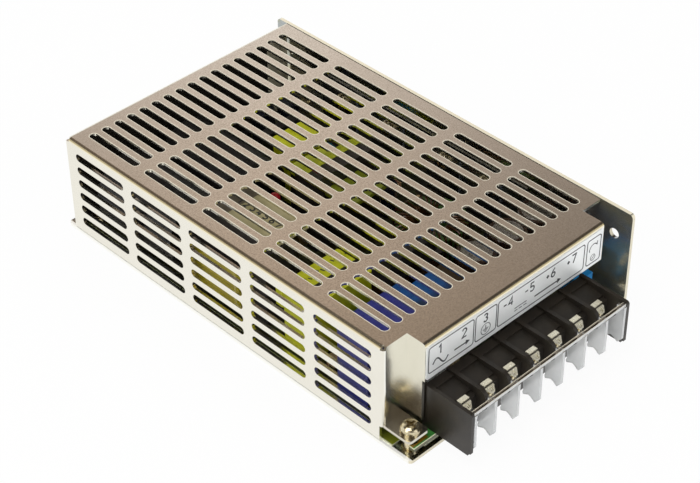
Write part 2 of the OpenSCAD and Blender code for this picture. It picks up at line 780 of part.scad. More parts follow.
module fuse_clips() {
    inner = fuse_radius + slip;
    grip = cap_length - 1;
    color("silver") for (side = [-1, 1])
        translate([0, fuse_at[1], 0])
            along_x(fuse_at[0] + side * (fuse_length - cap_length) / 2 - grip / 2, grip) difference() {
                union() {
                    translate([0, fuse_z]) circle(r = inner + 0.5);
                    translate([-1.6, board_top]) square([3.2, fuse_z - board_top]);
                }
                translate([0, fuse_z]) circle(r = inner);
                translate([-1.4, fuse_z]) square([2.8, 2 * fuse_radius]);
            }
}

// Puts its children at the foot of each leg of the line filter's core
module at_filter_legs() {
    for (side = [-1, 1])
        on_board([line_filter_at[0] + side * (filter_core[0] - filter_leg) / 2, line_filter_at[1]])
            translate([0, 0, filter_base + filter_leg]) children();
}

module line_filter_core() {
    color("#2b2523") on_board(line_filter_at)
        translate([-filter_core[0] / 2, -filter_core[1] / 2, filter_base]) difference() {
            cube(filter_core);
            translate([filter_leg, -1, filter_leg])
                cube([filter_core[0] - 2 * filter_leg, filter_core[1] + 2, filter_window]);
        }
}

module line_filter_bobbin() {
    sleeve = [filter_leg + 2 * seat_gap, filter_core[1] + 2 * seat_gap];
    color("#16130f") {
        at_filter_legs() {
            for (z = [seat_gap, filter_window - seat_gap - 0.8]) translate([0, 0, z])
                linear_extrude(0.8) ring_outline(sleeve, filter_build, 1);
            translate([0, 0, seat_gap]) linear_extrude(filter_window - 2 * seat_gap)
                ring_outline(sleeve, 0.6, 0.4);
        }
        on_board(line_filter_at) translate([-filter_core[0] / 2 - 2, -filter_core[1] / 2 - 2, 0])
            cube([filter_core[0] + 4, filter_core[1] + 4, filter_base]);
    }
}

module line_filter_windings() {
    sleeve = [filter_leg + 1.8, filter_core[1] + 1.8];
    color("sienna") at_filter_legs() translate([0, 0, 1.1])
        linear_extrude(filter_window - 2.2) ring_outline(sleeve, filter_build - 1, 1);
}

module yellow_film_capacitors() {
    color("gold") {
        film_box([choke_column(0), left_row(3)], yellow_boxes[0]);
        film_box([bulk_column(2), right_row(5)], yellow_boxes[1]);
    }
}

module blue_film_capacitors() {
    color("royalblue") {
        film_box([output_column(0), left_row(1)], blue_boxes[0]);
        film_box([output_column(1), left_row(1) + 0.5], blue_boxes[1]);
    }
}

module disc_capacitors() {
    color("steelblue") {
        leaded_disc([board_left + 21, disc_y], disc_radius, disc_thickness, 5);
        leaded_disc([board_left + 25, disc_y], disc_radius, disc_thickness, 3);
        leaded_disc([bulk_column(3) + small_disc[1] / 2, right_row(5) + 5.8], small_disc[0],
            small_disc[1], 3);
    }
}

module thermistor() {
    color("darkolivegreen") leaded_disc(
        [front_column(1) + thermistor_size[1] / 2, block_rear + 7], thermistor_size[0], thermistor_size[1], 3);
}

module varistor() {
    color("orangered") leaded_disc(
        [transformer_column(1) + varistor_size[1] / 2, second_at[1] - 5], varistor_size[0], varistor_size[1], 8);
}

module bridge_rectifier() {
    color("#221f1e") {
        block_at([rear_left + 1.5, right_row(6), board_top + 4], bridge_size);
        for (x = [2.4, 7.5, 12.5, 17.6])
            block_at([rear_left + 0.9 + x, right_row(6) + 1.4, board_top], [1.2, 0.8, 4]);
    }
}

module bulk_capacitors() {
    front = bulk_rear - bulk_length;
    axis_z = board_top + seat_gap + bulk_diameter / 2;
    color("#17191f") for (x = bulk_x) {
        translate([x, front, axis_z]) rotate([-90, 0, 0]) can(bulk_diameter / 2, bulk_length);
        for (lead = [x - 5, x + 5]) {
            rod_y([lead, front - bulk_lead_reach, axis_z], 0.4, bulk_lead_reach);
            rod_z([lead, front - bulk_lead_reach, board_top], 0.4, axis_z + 0.4 - board_top);
        }
    }
}

// The main transformer: its core stands in the YZ plane, the winding on its middle leg
module main_transformer_core() {
    color("#25201e") translate([0, main_y, board_top])
        along_x(main_x - main_core_width / 2, main_core_width)
            core_outline([main_core_length, main_height], main_leg, main_yoke);
}

module main_transformer_bobbin() {
    sleeve = [main_core_width + 2 * seat_gap, main_leg + 2 * seat_gap];
    color("#14110f") on_board([main_x, main_y]) translate([0, 0, main_yoke]) {
        for (z = [seat_gap, main_height - 2 * main_yoke - seat_gap - 0.9]) translate([0, 0, z])
            linear_extrude(0.9) ring_outline(sleeve, main_window - 0.6, 0.8);
        translate([0, 0, seat_gap]) linear_extrude(main_height - 2 * main_yoke - 2 * seat_gap)
            ring_outline(sleeve, 0.7, 0.4);
    }
}

module main_transformer_winding() {
    sleeve = [main_core_width + 2, main_leg + 2];
    outer = [main_winding_width, main_leg + 2 * main_window - 1.6];
    color("goldenrod") on_board([main_x, main_y]) translate([0, 0, main_yoke + 1.2])
        linear_extrude(main_height - 2 * main_yoke - 2.4) difference() {
            translate(-outer / 2) rounded_rect(outer, 2);
            translate(-sleeve / 2) square(sleeve);
        }
}

module main_transformer_label() {
    plate = [main_winding_width - 2, main_core_length - 2, 0.3];
    color("darkkhaki")
        translate([main_x - plate[0] / 2, main_y - plate[1] / 2, board_top + main_height]) cube(plate);
}

// The second transformer: its core stands in the XZ plane
module second_transformer_core() {
    color("#25201e") translate([second_at[0], 0, board_top])
        along_y(second_at[1] - second_core_depth / 2, second_core_depth)
            core_outline([second_core_width, second_height], second_leg, second_yoke);
}

module second_transformer_bobbin() {
    sleeve = [second_leg + 2 * seat_gap, second_core_depth + 2 * seat_gap];
    color("#14110f") on_board(second_at) translate([0, 0, second_yoke]) {
        for (z = [seat_gap, second_height - 2 * second_yoke - seat_gap - 0.8]) translate([0, 0, z])
            linear_extrude(0.8) ring_outline(sleeve, second_window - 0.6, 0.8);
        translate([0, 0, seat_gap]) linear_extrude(second_height - 2 * second_yoke - 2 * seat_gap)
            ring_outline(sleeve, 0.6, 0.4);
    }
}

module second_transformer_winding() {
    sleeve = [second_leg + 1.8, second_core_depth + 1.8];
    outer = [second_leg + 2 * second_window - 0.8, second_core_depth + 2 * second_coil_reach];
    color("yellowgreen") on_board(second_at) translate([0, 0, second_yoke + 1.1])
        linear_extrude(second_height - 2 * second_yoke - 2.2) difference() {
            translate(-outer / 2) rounded_rect(outer, 3);
            translate(-sleeve / 2) square(sleeve);
        }
}

// Power devices on the heat spreader
module heat_spreader() {
    color("silver") difference() {
        block_at([spreader_x, spreader_middle - spreader_length / 2, board_top],
            [spreader_thickness, spreader_length, spreader_height]);
        for (y = device_y)
            rod_x([spreader_x - 1, y, device_screw_z], m3_radius + slip, spreader_thickness + 2);
        for (at = wall_screw_at) if (at[1] < case_height - flange_height)
            rod_x([spreader_x - 1, at[0], at[1]], m3_radius + slip, spreader_thickness + 2);
    }
}

module insulating_pads() {
    color("lightslategray") for (y = device_y) difference() {
        block_at([spreader_x - pad_thickness, y - device_body[1] / 2 - 0.5, board_top + device_lift - 0.5],
            [pad_thickness, device_body[1] + 1, tab_top - device_lift + 1]);
        rod_x([spreader_x - 1, y, device_screw_z], m3_passage, 2);
    }
}

module power_transistors() {
    color("#1c1b1a") for (y = transistor_y) power_device(y);
}

module rectifier_diodes() {
    color("#1c1b1a") for (y = diode_y) power_device(y);
}

module device_screws() {
    stack = tab_thickness + pad_thickness + spreader_thickness;
    color("silver") for (y = device_y)
        translate([spreader_x - pad_thickness - tab_thickness, y, device_screw_z])
            rotate([0, -90, 0]) pan_screw(pan_head, m3_radius, stack - seat_gap);
}

// Output side
module output_choke_core() {
    radius = output_choke_diameter / 2;
    color("#4a5a3a") on_board(choke_at) translate([0, 0, choke_lift]) difference() {
        cylinder(r = radius, h = choke_height);
        translate([0, 0, -1]) cylinder(r = radius * 0.55, h = choke_height + 2);
    }
}

module output_choke_winding() {
    inner = output_choke_diameter * 0.55 / 2 - pocket_play;
    section = [output_choke_diameter / 2 + pocket_play - inner, choke_height + 2 * pocket_play];
    color("saddlebrown") on_board(choke_at) translate([0, 0, choke_lift - pocket_play]) rotate(20)
        rotate_extrude(angle = 310) difference() {
            translate([inner - choke_wire, -choke_wire])
                rounded_rect([section[0] + 2 * choke_wire, section[1] + 2 * choke_wire], choke_wire);
            translate([inner, 0]) square(section);
        }
}

module output_capacitors() {
    color("#3a2a22") for (i = [2 : 4])
        on_board([output_column(i) + output_can[0], output_y]) can(output_can[0], output_can[1]);
}

module small_capacitors() {
    color("#2d3448") {
        for (at = small_can_at) on_board(at) can(small_can[0], small_can[1]);
        for (at = rear_can_at) on_board(at) can(rear_can[0], rear_can[1]);
    }
}

// A chip with a row of legs along each long side
module chip(at, size, legs_per_side) {
    on_board(at) {
        translate([-size[0] / 2, -size[1] / 2, 0.8]) cube(size);
        for (i = [0 : legs_per_side - 1], y = [-size[1] / 2 - 0.3, size[1] / 2])
            translate([(i - (legs_per_side - 1) / 2) * 2.54 - 0.25, y, 0]) cube([0.5, 0.3, 2.6]);
    }
}

module control_chip() {
    color("#191919") chip(chip_at, chip_size, 7);
}

module optocouplers() {
    color("#1a1a1a") for (y = [block_rear + 5, block_rear + 12])
        chip([front_column(2) + coupler_size[0] / 2, y], coupler_size, 2);
}

module power_resistors() {
    color("tan") {
        axial_part([transformer_column(3) + 5.1, second_at[1] - 12.5], 2.3, 10, 1, 0.4);
        axial_part([transformer_column(3) + 7.1, second_at[1] - 1.2], 2.3, 7, 1, 0.4);
        axial_part([board_left + 11.4, disc_y], 2.3, 8, 1, 0.4);
    }
}

module signal_diodes() {
    color("#202020") for (at = [[rear_left + 13.5, rear_front + 1.4],
        [rear_left + 13.5, rear_front + 15.8], [rear_left + 2.5, rear_front + 13.3],
        [chip_at[0] + 11, block_rear + 3]])
        axial_part(at, 1.4, 5, 0.5, 0.3);
}

// A bare link bridging two holes
module wire_link(at, span) {
    on_board(at) {
        rod_x([-span / 2, 0, 0.6], 0.35, span);
        for (x = [-span / 2, span / 2 - 0.7]) translate([x, -0.35, 0]) cube([0.7, 0.7, 0.6]);
    }
}

module wire_links() {
    color("silver") {
        for (y = [left_row(4) - 2.9, left_row(4) + 2.1]) wire_link([line_filter_at[0] - 8, y], 10);
        wire_link([rear_left + 21.5, right_row(5) - 2.2], 10);
        wire_link([fuse_at[0] - 10, block_rear + 13], 10);
    }
}

chassis();
cover();
front_label();
corner_pillar();
corner_washer();
corner_screw();
wall_screws();
insulating_sheet();
circuit_board();
board_spacers();
board_screws();
terminal_block();
terminal_clamps();
terminal_screws();
terminal_cover();
trimmer_body();
trimmer_rotor();
fuse();
fuse_clips();
line_filter_core();
line_filter_bobbin();
line_filter_windings();
yellow_film_capacitors();
blue_film_capacitors();
disc_capacitors();
thermistor();
varistor();
bridge_rectifier();
bulk_capacitors();
main_transformer_core();
main_transformer_winding();
main_transformer_bobbin();
main_transformer_label();
second_transformer_core();
second_transformer_winding();
second_transformer_bobbin();
heat_spreader();
insulating_pads();
power_transistors();
rectifier_diodes();
device_screws();
output_choke_core();
output_choke_winding();
output_capacitors();
small_capacitors();
control_chip();
optocouplers();
power_resistors();
signal_diodes();
wire_links();
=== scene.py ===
import math

import bmesh
import bpy
from mathutils import Matrix, Quaternion, Vector


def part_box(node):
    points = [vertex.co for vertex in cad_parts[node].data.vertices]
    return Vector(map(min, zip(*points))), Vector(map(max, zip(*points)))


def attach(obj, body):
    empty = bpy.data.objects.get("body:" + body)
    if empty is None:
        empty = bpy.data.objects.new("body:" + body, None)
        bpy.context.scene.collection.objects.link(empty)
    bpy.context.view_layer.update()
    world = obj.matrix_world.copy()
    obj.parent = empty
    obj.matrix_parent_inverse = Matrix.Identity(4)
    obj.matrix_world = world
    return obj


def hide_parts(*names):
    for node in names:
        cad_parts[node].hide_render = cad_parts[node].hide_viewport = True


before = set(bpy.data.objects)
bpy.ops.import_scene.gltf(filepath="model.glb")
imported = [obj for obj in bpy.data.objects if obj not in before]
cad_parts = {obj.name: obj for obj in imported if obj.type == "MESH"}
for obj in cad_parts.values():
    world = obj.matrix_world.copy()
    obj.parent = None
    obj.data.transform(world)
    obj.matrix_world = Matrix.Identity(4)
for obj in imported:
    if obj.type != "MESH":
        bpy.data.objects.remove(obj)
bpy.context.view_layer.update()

MM = 0.001
IMAGE_WIDTH = 700
SENSOR_WIDTH = 36.0


def box(node):
    """Lowest and highest corner of a CAD node, in millimetres."""
    low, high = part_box(node)
    return low / MM, high / MM


def rgb(code):
    """Linear colour with alpha from a hex code."""
    parts = [int(code[i:i + 2], 16) / 255 for i in (0, 2, 4)]
    return [c / 12.92 if c <= 0.04045 else ((c + 0.055) / 1.055) ** 2.4 for c in parts] + [1.0]


# Camera

CAMERA_AT = Vector((-337.39, -350.37, 402.11)) * MM
CAMERA_AZIMUTH = math.radians(-44.33)
CAMERA_ELEVATION = math.radians(38.88)
CAMERA_ROLL = math.radians(-0.365)
FOCAL_PIXELS = 1935.0


def make_camera():
    data = bpy.data.cameras.new("camera")
    data.sensor_width = SENSOR_WIDTH
    data.lens = FOCAL_PIXELS / IMAGE_WIDTH * SENSOR_WIDTH
    camera = bpy.data.objects.new("camera", data)
    bpy.context.scene.collection.objects.link(camera)
    level = math.cos(CAMERA_ELEVATION)
    forward = Vector((-math.sin(CAMERA_AZIMUTH) * level, math.cos(CAMERA_AZIMUTH) * level,
                      -math.sin(CAMERA_ELEVATION)))
    camera.location = CAMERA_AT
    camera.rotation_mode = "QUATERNION"
    camera.rotation_quaternion = (forward.to_track_quat("-Z", "Y")
                                  @ Quaternion((0, 0, 1), CAMERA_ROLL))
    bpy.context.scene.camera = camera


# Node helpers

# Colour sockets of a Mix node
MIX_FIRST, MIX_SECOND, MIX_RESULT = 6, 7, 2


def stops_ramp(nodes, stops):
    """A colour ramp with (position, colour) stops."""
    ramp = nodes.new("ShaderNodeValToRGB")
    elements = ramp.color_ramp.elements
    for i, (position, colour) in enumerate(stops):
        element = elements[i] if i < 2 else elements.new(position)
        element.position = position
        element.color = colour
    return ramp


def range_node(nodes, links, value, start, end, low, high):
    """Maps start...end of a value to low...high, held at both ends."""
    node = nodes.new("ShaderNodeMapRange")
    links.new(value, node.inputs["Value"])
    for socket, number in (("From Min", start), ("From Max", end), ("To Min", low),
                           ("To Max", high)):
        node.inputs[socket].default_value = number
    return node.outputs["Result"]


# Procedural finishes

# Slots of the cover: middle of one row and one column, their pitches and the slot's own size
SLOT_ROW, SLOT_ROW_PITCH = -42.2, 5.19
SLOT_COLUMN, SLOT_COLUMN_PITCH = 59.0, 27.64
SLOT_HALF_LENGTH, SLOT_RADIUS = 11.9, 1.45
# Extent of the slotted field along X and Y, and the height above which its rims get a painted
# highlight
FIELD_X, FIELD_Y = (-44.5, 43.0), (-65.5, 73.0)
FIELD_Z = 37.7
# Front and rear of the guard's hinge beam
BEAM_FRONT, BEAM_REAR = -92.2, -91.0


class Finish:
    """A procedural material. Lengths are in millimetres, in the object's own space."""

    def __init__(self, name, **constants):
        self.material = bpy.data.materials.new(name)
        self.material.use_nodes = True
        self.nodes = self.material.node_tree.nodes
        self.links = self.material.node_tree.links
        self.shader = self.nodes["Principled BSDF"]
        for socket, value in constants.items():
            self.shader.inputs[socket.replace("_", " ")].default_value = value
        self.texture_space = self.nodes.new("ShaderNodeTexCoord")
        self.place = self.vector_math("SCALE", self.texture_space.outputs["Object"], scale=1 / MM)
        self.heights = []

    def put(self, socket, value):
        if isinstance(value, bpy.types.NodeSocket):
            self.links.new(value, socket)
        else:
            socket.default_value = value

    def vector_math(self, operation, first, second=None, scale=None):
        node = self.nodes.new("ShaderNodeVectorMath")
        node.operation = operation
        self.put(node.inputs[0], first)
        if second is not None:
            self.put(node.inputs[1], second)
        if scale is not None:
            node.inputs["Scale"].default_value = scale
        return node.outputs["Vector"]

    def math(self, operation, first, second=0.0):
        node = self.nodes.new("ShaderNodeMath")
        node.operation = operation
        self.put(node.inputs[0], first)
        self.put(node.inputs[1], second)
        return node.outputs[0]

    def along(self, axis):
        node = self.nodes.new("ShaderNodeSeparateXYZ")
        self.links.new(self.place, node.inputs[0])
        return node.outputs[axis]

    def facing(self, axis):
        node = self.nodes.new("ShaderNodeSeparateXYZ")
        self.links.new(self.texture_space.outputs["Normal"], node.inputs[0])
        return node.outputs[axis]

    def noise(self, size, detail=4.0, stretch=(1, 1, 1), roughness=0.55):
        """Noise whose features are about size across, drawn out along an axis by stretch."""
        node = self.nodes.new("ShaderNodeTexNoise")
        node.inputs["Scale"].default_value = 1 / size
        node.inputs["Detail"].default_value = detail
        node.inputs["Roughness"].default_value = roughness
        place = self.place
        if tuple(stretch) != (1, 1, 1):
            place = self.vector_math("MULTIPLY", place, [1 / s for s in stretch])
        self.links.new(place, node.inputs["Vector"])
        return node.outputs["Fac"]

    def cells(self, size, randomness=1.0, feature="F1"):
        node = self.nodes.new("ShaderNodeTexVoronoi")
        node.feature = feature
        node.inputs["Scale"].default_value = 1 / size
        node.inputs["Randomness"].default_value = randomness
        self.links.new(self.place, node.inputs["Vector"])
        return node.outputs["Distance"]

    def span(self, value, start, end, low=0.0, high=1.0):
        return range_node(self.nodes, self.links, value, start, end, low, high)

    def repeat(self, value, middle, pitch):
        """Distance to the nearest of the middles that follow each other at a pitch."""
        turns = self.math("DIVIDE", self.math("SUBTRACT", value, middle - pitch / 2), pitch)
        share = self.math("SUBTRACT", self.math("FRACT", turns), 0.5)
        return self.math("MULTIPLY", self.math("ABSOLUTE", share), pitch)

    def inside(self, value, start, end, edge=0.02):
        """1 where a value lies between start and end, 0 elsewhere."""
        rise = self.span(value, start - edge, start + edge)
        fall = self.span(value, end - edge, end + edge, 1.0, 0.0)
        return self.math("MULTIPLY", rise, fall)

    def ramp(self, value, *stops):
        node = stops_ramp(self.nodes, stops)
        self.links.new(value, node.inputs["Fac"])
        return node.outputs["Color"]

    def tones(self, size, dark, light, detail=4.0, stretch=(1, 1, 1)):
        """Clouds of a size that run from one colour to another."""
        cloud = self.noise(size, detail, stretch)
        return self.ramp(cloud, (0.3, rgb(dark)), (0.7, rgb(light)))

    def mix(self, factor, first, second):
        node = self.nodes.new("ShaderNodeMix")
        node.data_type = "RGBA"
        self.put(node.inputs["Factor"], factor)
        self.put(node.inputs[MIX_FIRST], first)
        self.put(node.inputs[MIX_SECOND], second)
        return node.outputs[MIX_RESULT]

    def colour(self, value):
        self.put(self.shader.inputs["Base Color"], value)
        return self

    def rough(self, value):
        self.put(self.shader.inputs["Roughness"], value)
        return self

    def metal(self, value):
        self.put(self.shader.inputs["Metallic"], value)
        return self

    def bump(self, height, depth, strength=1.0):
        """Adds relief of a depth in millimetres on top of what is there already."""
        node = self.nodes.new("ShaderNodeBump")
        node.inputs["Strength"].default_value = strength
        node.inputs["Distance"].default_value = depth * MM
        self.links.new(height, node.inputs["Height"])
        if self.heights:
            self.links.new(self.heights[-1], node.inputs["Normal"])
        self.heights.append(node.outputs["Normal"])
        self.put(self.shader.inputs["Normal"], node.outputs["Normal"])
        return self

    def grain(self, size, roughness, depth, stretch=(1, 1, 1)):
        """A fine relief that varies the roughness with it."""
        fine = self.noise(size, 3.0, stretch)
        self.rough(self.span(fine, 0.3, 0.7, *roughness))
        return self.bump(fine, depth)


def grained(name, dark, light, roughness, size=3.0, grain=0.25, depth=0.02, stretch=(1, 1, 1),
            **constants):
    """A material of two near tones with a fine relief."""
    finish = Finish(name, **constants)
    finish.colour(finish.tones(size, dark, light, 5.0, stretch))
    finish.grain(grain, roughness, depth, stretch)
    return finish


def beside_slots(finish):
    """1 along the edges of the slots in the top, fading to 0 a little way off."""
    across = finish.repeat(finish.along("X"), SLOT_ROW, SLOT_ROW_PITCH)
    along = finish.repeat(finish.along("Y"), SLOT_COLUMN, SLOT_COLUMN_PITCH)
    past = finish.math("SUBTRACT", along, SLOT_HALF_LENGTH - SLOT_RADIUS)
    past = finish.math("MAXIMUM", past, 0.0)
    square = finish.math("ADD", finish.math("MULTIPLY", across, across),
                         finish.math("MULTIPLY", past, past))
    distance = finish.math("SUBTRACT", finish.math("SQRT", square), SLOT_RADIUS)
    field = finish.math("MULTIPLY", finish.inside(finish.along("X"), *FIELD_X),
                        finish.inside(finish.along("Y"), *FIELD_Y))
    near = finish.math("MULTIPLY", finish.span(distance, 0.05, 0.33, 1.0, 0.0), field)
    top = finish.span(finish.along("Z"), FIELD_Z - 0.1, FIELD_Z + 0.1)
    return finish.math("MULTIPLY", near, top)


def cover_plate():
    """Plain zinc with a fine grain, painted highlights on the slot edges, a painted golden
    reflection on the fold, and painted shade: a little on the faces toward -X, towards the bottom
    by the front corner, and dark on the inner rear wall.
    """
    corner_rear, corner_side, corner_top = -67.5, -38.5, 17.0
    inner_rear = 70.0
    finish = Finish("cover_plate", Metallic=1.0)
    cloud = finish.noise(22.0, 3.0)
    speckle = finish.noise(0.45, 3.0, roughness=0.7)
    tone = finish.ramp(cloud, (0.3, rgb("f1f0e7")), (0.7, rgb("f8f7ef")))
    level = finish.facing("Z")
    flecks = finish.math("MULTIPLY", finish.span(speckle, 0.4, 0.65, 0.0, 0.45),
                         finish.span(level, 0.5, 0.9))
    # Painted shade: faces toward -X are mixed halfway to a darker cream, e6e0d0.
    side = finish.span(finish.facing("X"), -0.6, -0.3, 0.5, 0.0)
    skin = finish.mix(flecks, finish.mix(side, tone, rgb("e6e0d0")), rgb("bdb4a2"))
    # Painted reflection: the bend of the fold is tinted pale gold, with a darker gold band midway
    # round it.
    bend = finish.inside(level, 0.12, 0.94, 0.06)
    painted_fold_reflection = finish.mix(finish.inside(level, 0.45, 0.72, 0.08), rgb("f2ead0"), rgb("c4b488"))
    # Painted highlight: the slot edges in the top are pale cream, eae2cd, and hardly metallic.
    rim = beside_slots(finish)
    # Painted shade: at the front corner on the -X side the faces are mixed up to a third towards
    # brown, 8a7a56, more the lower they are.
    corner = finish.math("MULTIPLY",
                         finish.span(finish.along("Y"), corner_rear, corner_rear - 0.5),
                         finish.span(finish.along("X"), corner_side, corner_side + 1, 1.0, 0.0))
    painted_corner_shade = finish.math("MULTIPLY", corner,
                       finish.span(finish.along("Z"), corner_top - 8, corner_top, 0.35, 0.0))
    folded = finish.mix(painted_corner_shade, finish.mix(bend, skin, painted_fold_reflection), rgb("8a7a56"))
    # Painted shade: the inner face of the rear wall is dark brown, 2a2620, rough and hardly
    # metallic.
    inside = finish.math("MULTIPLY", finish.span(finish.along("Y"), inner_rear, inner_rear + 0.5),
                         finish.span(finish.facing("Y"), -0.9, -0.6, 1.0, 0.0))
    folded = finish.mix(inside, folded, rgb("2a2620"))
    finish.colour(finish.mix(rim, folded, rgb("eae2cd")))
    plain = finish.math("MAXIMUM", rim, inside)
    finish.metal(finish.span(plain, 0.0, 1.0, 1.0, 0.15))
    finish.rough(finish.mix(inside, finish.span(speckle, 0.3, 0.7, 0.17, 0.23), rgb("bcbcbc")))
    finish.bump(speckle, 0.004)
    return finish


def chassis_zinc():
    """Passivated zinc, painted pale along the sheet's edges and the floor's outer rim as painted
    highlights, and duller on the wall's inside.
    """
    finish = Finish("chassis_zinc", Metallic=1.0)
    cloud = finish.noise(16.0, 3.0, (1, 1.6, 0.8))
    sheen = finish.ramp(cloud, (0.32, rgb("cfc8b0")), (0.42, rgb("b9b08c")), (0.5, rgb("a9ac96")),
                        (0.58, rgb("98a6b4")), (0.7, rgb("c4bdb4")))
    plain = finish.noise(5.0, 4.0)
    skin = finish.mix(finish.span(plain, 0.3, 0.75, 0.2, 0.6), sheen, rgb("cdc8bc"))
    low, high = box("chassis")
    height = finish.along("Z")
    # Painted highlights: the floor's outer edge, the front edges, the wall top and the floor's
    # outer rim are painted near white; the rim is painted light over the dark line of the gap
    # between the cover's side and the floor.
    floor_edge = finish.math("MULTIPLY", finish.span(height, 1.15, 1.25, 1.0, 0.0),
                             finish.span(finish.facing("X"), -0.6, -0.3, 1.0, 0.0))
    front_edge = finish.span(finish.facing("Y"), -0.6, -0.3, 1.0, 0.0)
    wall_top = finish.span(height, high.z - 0.1, high.z - 0.02)
    rim = finish.span(finish.along("X"), low.x + 0.9, low.x + 1.1, 1.0, 0.0)
    edge = finish.math("MAXIMUM", finish.math("MAXIMUM", floor_edge, front_edge), wall_top)
    edge = finish.math("MAXIMUM", edge, rim)
    # Painted highlight: the front edges and wall top are cream, e6dec6, and hardly metallic.
    painted_edge_light = finish.math("MAXIMUM", front_edge, wall_top)
    finish.colour(finish.mix(painted_edge_light, finish.mix(edge, skin, rgb("fdfcf6")), rgb("e6dec6")))
    inner = finish.math("MULTIPLY", finish.span(finish.facing("X"), -0.6, -0.3, 1.0, 0.0),
                        finish.span(height, 2.0, 3.0))
    dull = finish.math("MAXIMUM", finish.math("MULTIPLY", inner, 0.25), painted_edge_light)
    dull = finish.math("MAXIMUM", dull,
                       finish.math("MULTIPLY", rim, finish.span(finish.facing("Z"), 0.3, 0.6)))
    finish.metal(finish.span(dull, 0.0, 1.0, 1.0, 0.2))
    grain = finish.noise(0.8, 4.0, (1, 6, 1))
    finish.rough(finish.mix(edge, finish.span(grain, 0.3, 0.7, 0.16, 0.26), rgb("808080")))
    finish.bump(grain, 0.008)
    return finish


def label_film():
    """Brushed silver film with hairlines along X."""
    finish = Finish("label_film", Metallic=0.5)
    finish.colour(finish.tones(9.0, "f3f5f5", "fbfcfc", stretch=(5, 1, 1)))
    finish.grain(0.2, (0.32, 0.44), 0.006, (30, 1, 1))
    return finish


def board_laminate():
    """Solder mask with painted shade, dark olive-brown outside the open corner and lighter green in
    it, over an olive core with a pale top rim in fibreglass tones, kept to a narrow top band as a
    painted highlight.
    """
    corner_rear, corner_side = -74.0, -35.0
    stripe_front, stripe_rear, stripe_length = 0.45, 1.7, 7.2
    finish = Finish("board_laminate", Coat_Weight=0.4, Coat_Roughness=0.12)
    low, high = box("circuit_board")
    level = finish.facing("Z")
    side = finish.span(finish.math("ABSOLUTE", level), 0.3, 0.7, 1.0, 0.0)
    under = finish.span(level, -0.7, -0.3, 1.0, 0.0)
    # Partly the fibreglass's pale colour and partly a painted highlight: the edge is pale only
    # along its top 0.5 mm.
    rim = finish.math("MULTIPLY", side,
                      finish.span(finish.along("Z"), high.z - 0.55, high.z - 0.45))
    track = finish.cells(4.2, 0.7, "DISTANCE_TO_EDGE")
    line = finish.span(track, 0.05, 0.09, 1.0, 0.0)
    cloud = finish.noise(7.0, 4.0)
    front = finish.along("Y")
    # Painted shade: the solder mask is dark olive-brown outside the open corner and lighter green
    # in it.
    corner = finish.math("MULTIPLY",
                         finish.span(front, corner_rear - 0.5, corner_rear + 0.5, 1.0, 0.0),
                         finish.span(finish.along("X"), corner_side - 1, corner_side + 1, 1.0, 0.0))
    painted_shade_colour = finish.mix(line, finish.ramp(cloud, (0.3, rgb("222812")), (0.7, rgb("38301a"))),
                      rgb("40442a"))
    pale = finish.ramp(cloud, (0.3, rgb("3f8a3c")), (0.7, rgb("5a9d50")))
    stripe = finish.math("MULTIPLY",
                         finish.inside(front, low.y + stripe_front, low.y + stripe_rear, 0.1),
                         finish.inside(finish.along("X"), low.x, low.x + stripe_length, 0.3))
    mask = finish.mix(stripe, finish.mix(corner, painted_shade_colour, pale), rgb("8a6a18"))
    glass = finish.tones(0.5, "c9cf9a", "e6ebc8", 2.0, (4, 4, 1))
    core = finish.mix(side, finish.mix(under, mask, rgb("4a431c")), rgb("4b4a1e"))
    finish.colour(finish.mix(rim, core, glass))
    finish.rough(finish.span(cloud, 0.3, 0.7, 0.28, 0.42))
    finish.bump(line, 0.03)
    return finish


def sheet_film():
    """Olive film with painted highlights, pale on its edge faces and along its outer edge."""
    low = box("insulating_sheet")[0]
    finish = Finish("sheet_film")
    film = finish.tones(8.0, "5c6112", "868c22")
    # Painted highlights: the edge faces are pale, eeeed0, and so is a band along the outer edge,
    # painted light over the dark gap beside it.
    painted_edge_light = finish.span(finish.math("ABSOLUTE", finish.facing("Z")), 0.3, 0.7, 1.0, 0.0)
    outer = finish.span(finish.along("X"), low.x + 0.2, low.x + 0.5, 1.0, 0.0)
    pale = finish.math("MAXIMUM", painted_edge_light, outer)
    finish.colour(finish.mix(pale, film, rgb("eeeed0")))
    finish.grain(0.5, (0.3, 0.45), 0.02)
    return finish


def clear_cover():
    """Milky fins under a clear hinge beam whose long edges catch the light."""
    high = box("terminal_cover")[1]
    finish = Finish("clear_cover", IOR=1.49)
    height, depth = finish.along("Z"), finish.along("Y")
    beam = finish.math("MULTIPLY", finish.span(height, high.z - 1.05, high.z - 1.0),
                       finish.span(finish.facing("Y"), -0.7, -0.3))
    edges = finish.math("MAXIMUM", finish.inside(depth, BEAM_FRONT - 0.1, BEAM_FRONT + 0.12, 0.04),
                        finish.inside(depth, BEAM_REAR - 0.16, BEAM_REAR + 0.1, 0.04))
    edges = finish.math("MULTIPLY", edges, finish.span(finish.facing("Z"), 0.3, 0.6))
    clear = finish.math("MULTIPLY", beam, finish.span(edges, 0.0, 1.0, 1.0, 0.0))
    cloud = finish.noise(6.0, 3.0)
    milk = finish.ramp(cloud, (0.3, rgb("f0f2f3")), (0.7, rgb("fafbfb")))
    finish.colour(finish.mix(beam, milk, finish.mix(edges, rgb("aaa196"), rgb("efe6cc"))))
    finish.put(finish.shader.inputs["Transmission Weight"], finish.span(clear, 0.0, 1.0, 0.4, 0.97))
    fine = finish.noise(0.6, 3.0)
    finish.rough(finish.math("MULTIPLY", finish.span(fine, 0.3, 0.7, 0.14, 0.24),
                             finish.span(clear, 0.0, 1.0, 1.0, 0.1)))
    finish.bump(fine, 0.004)
    return finish


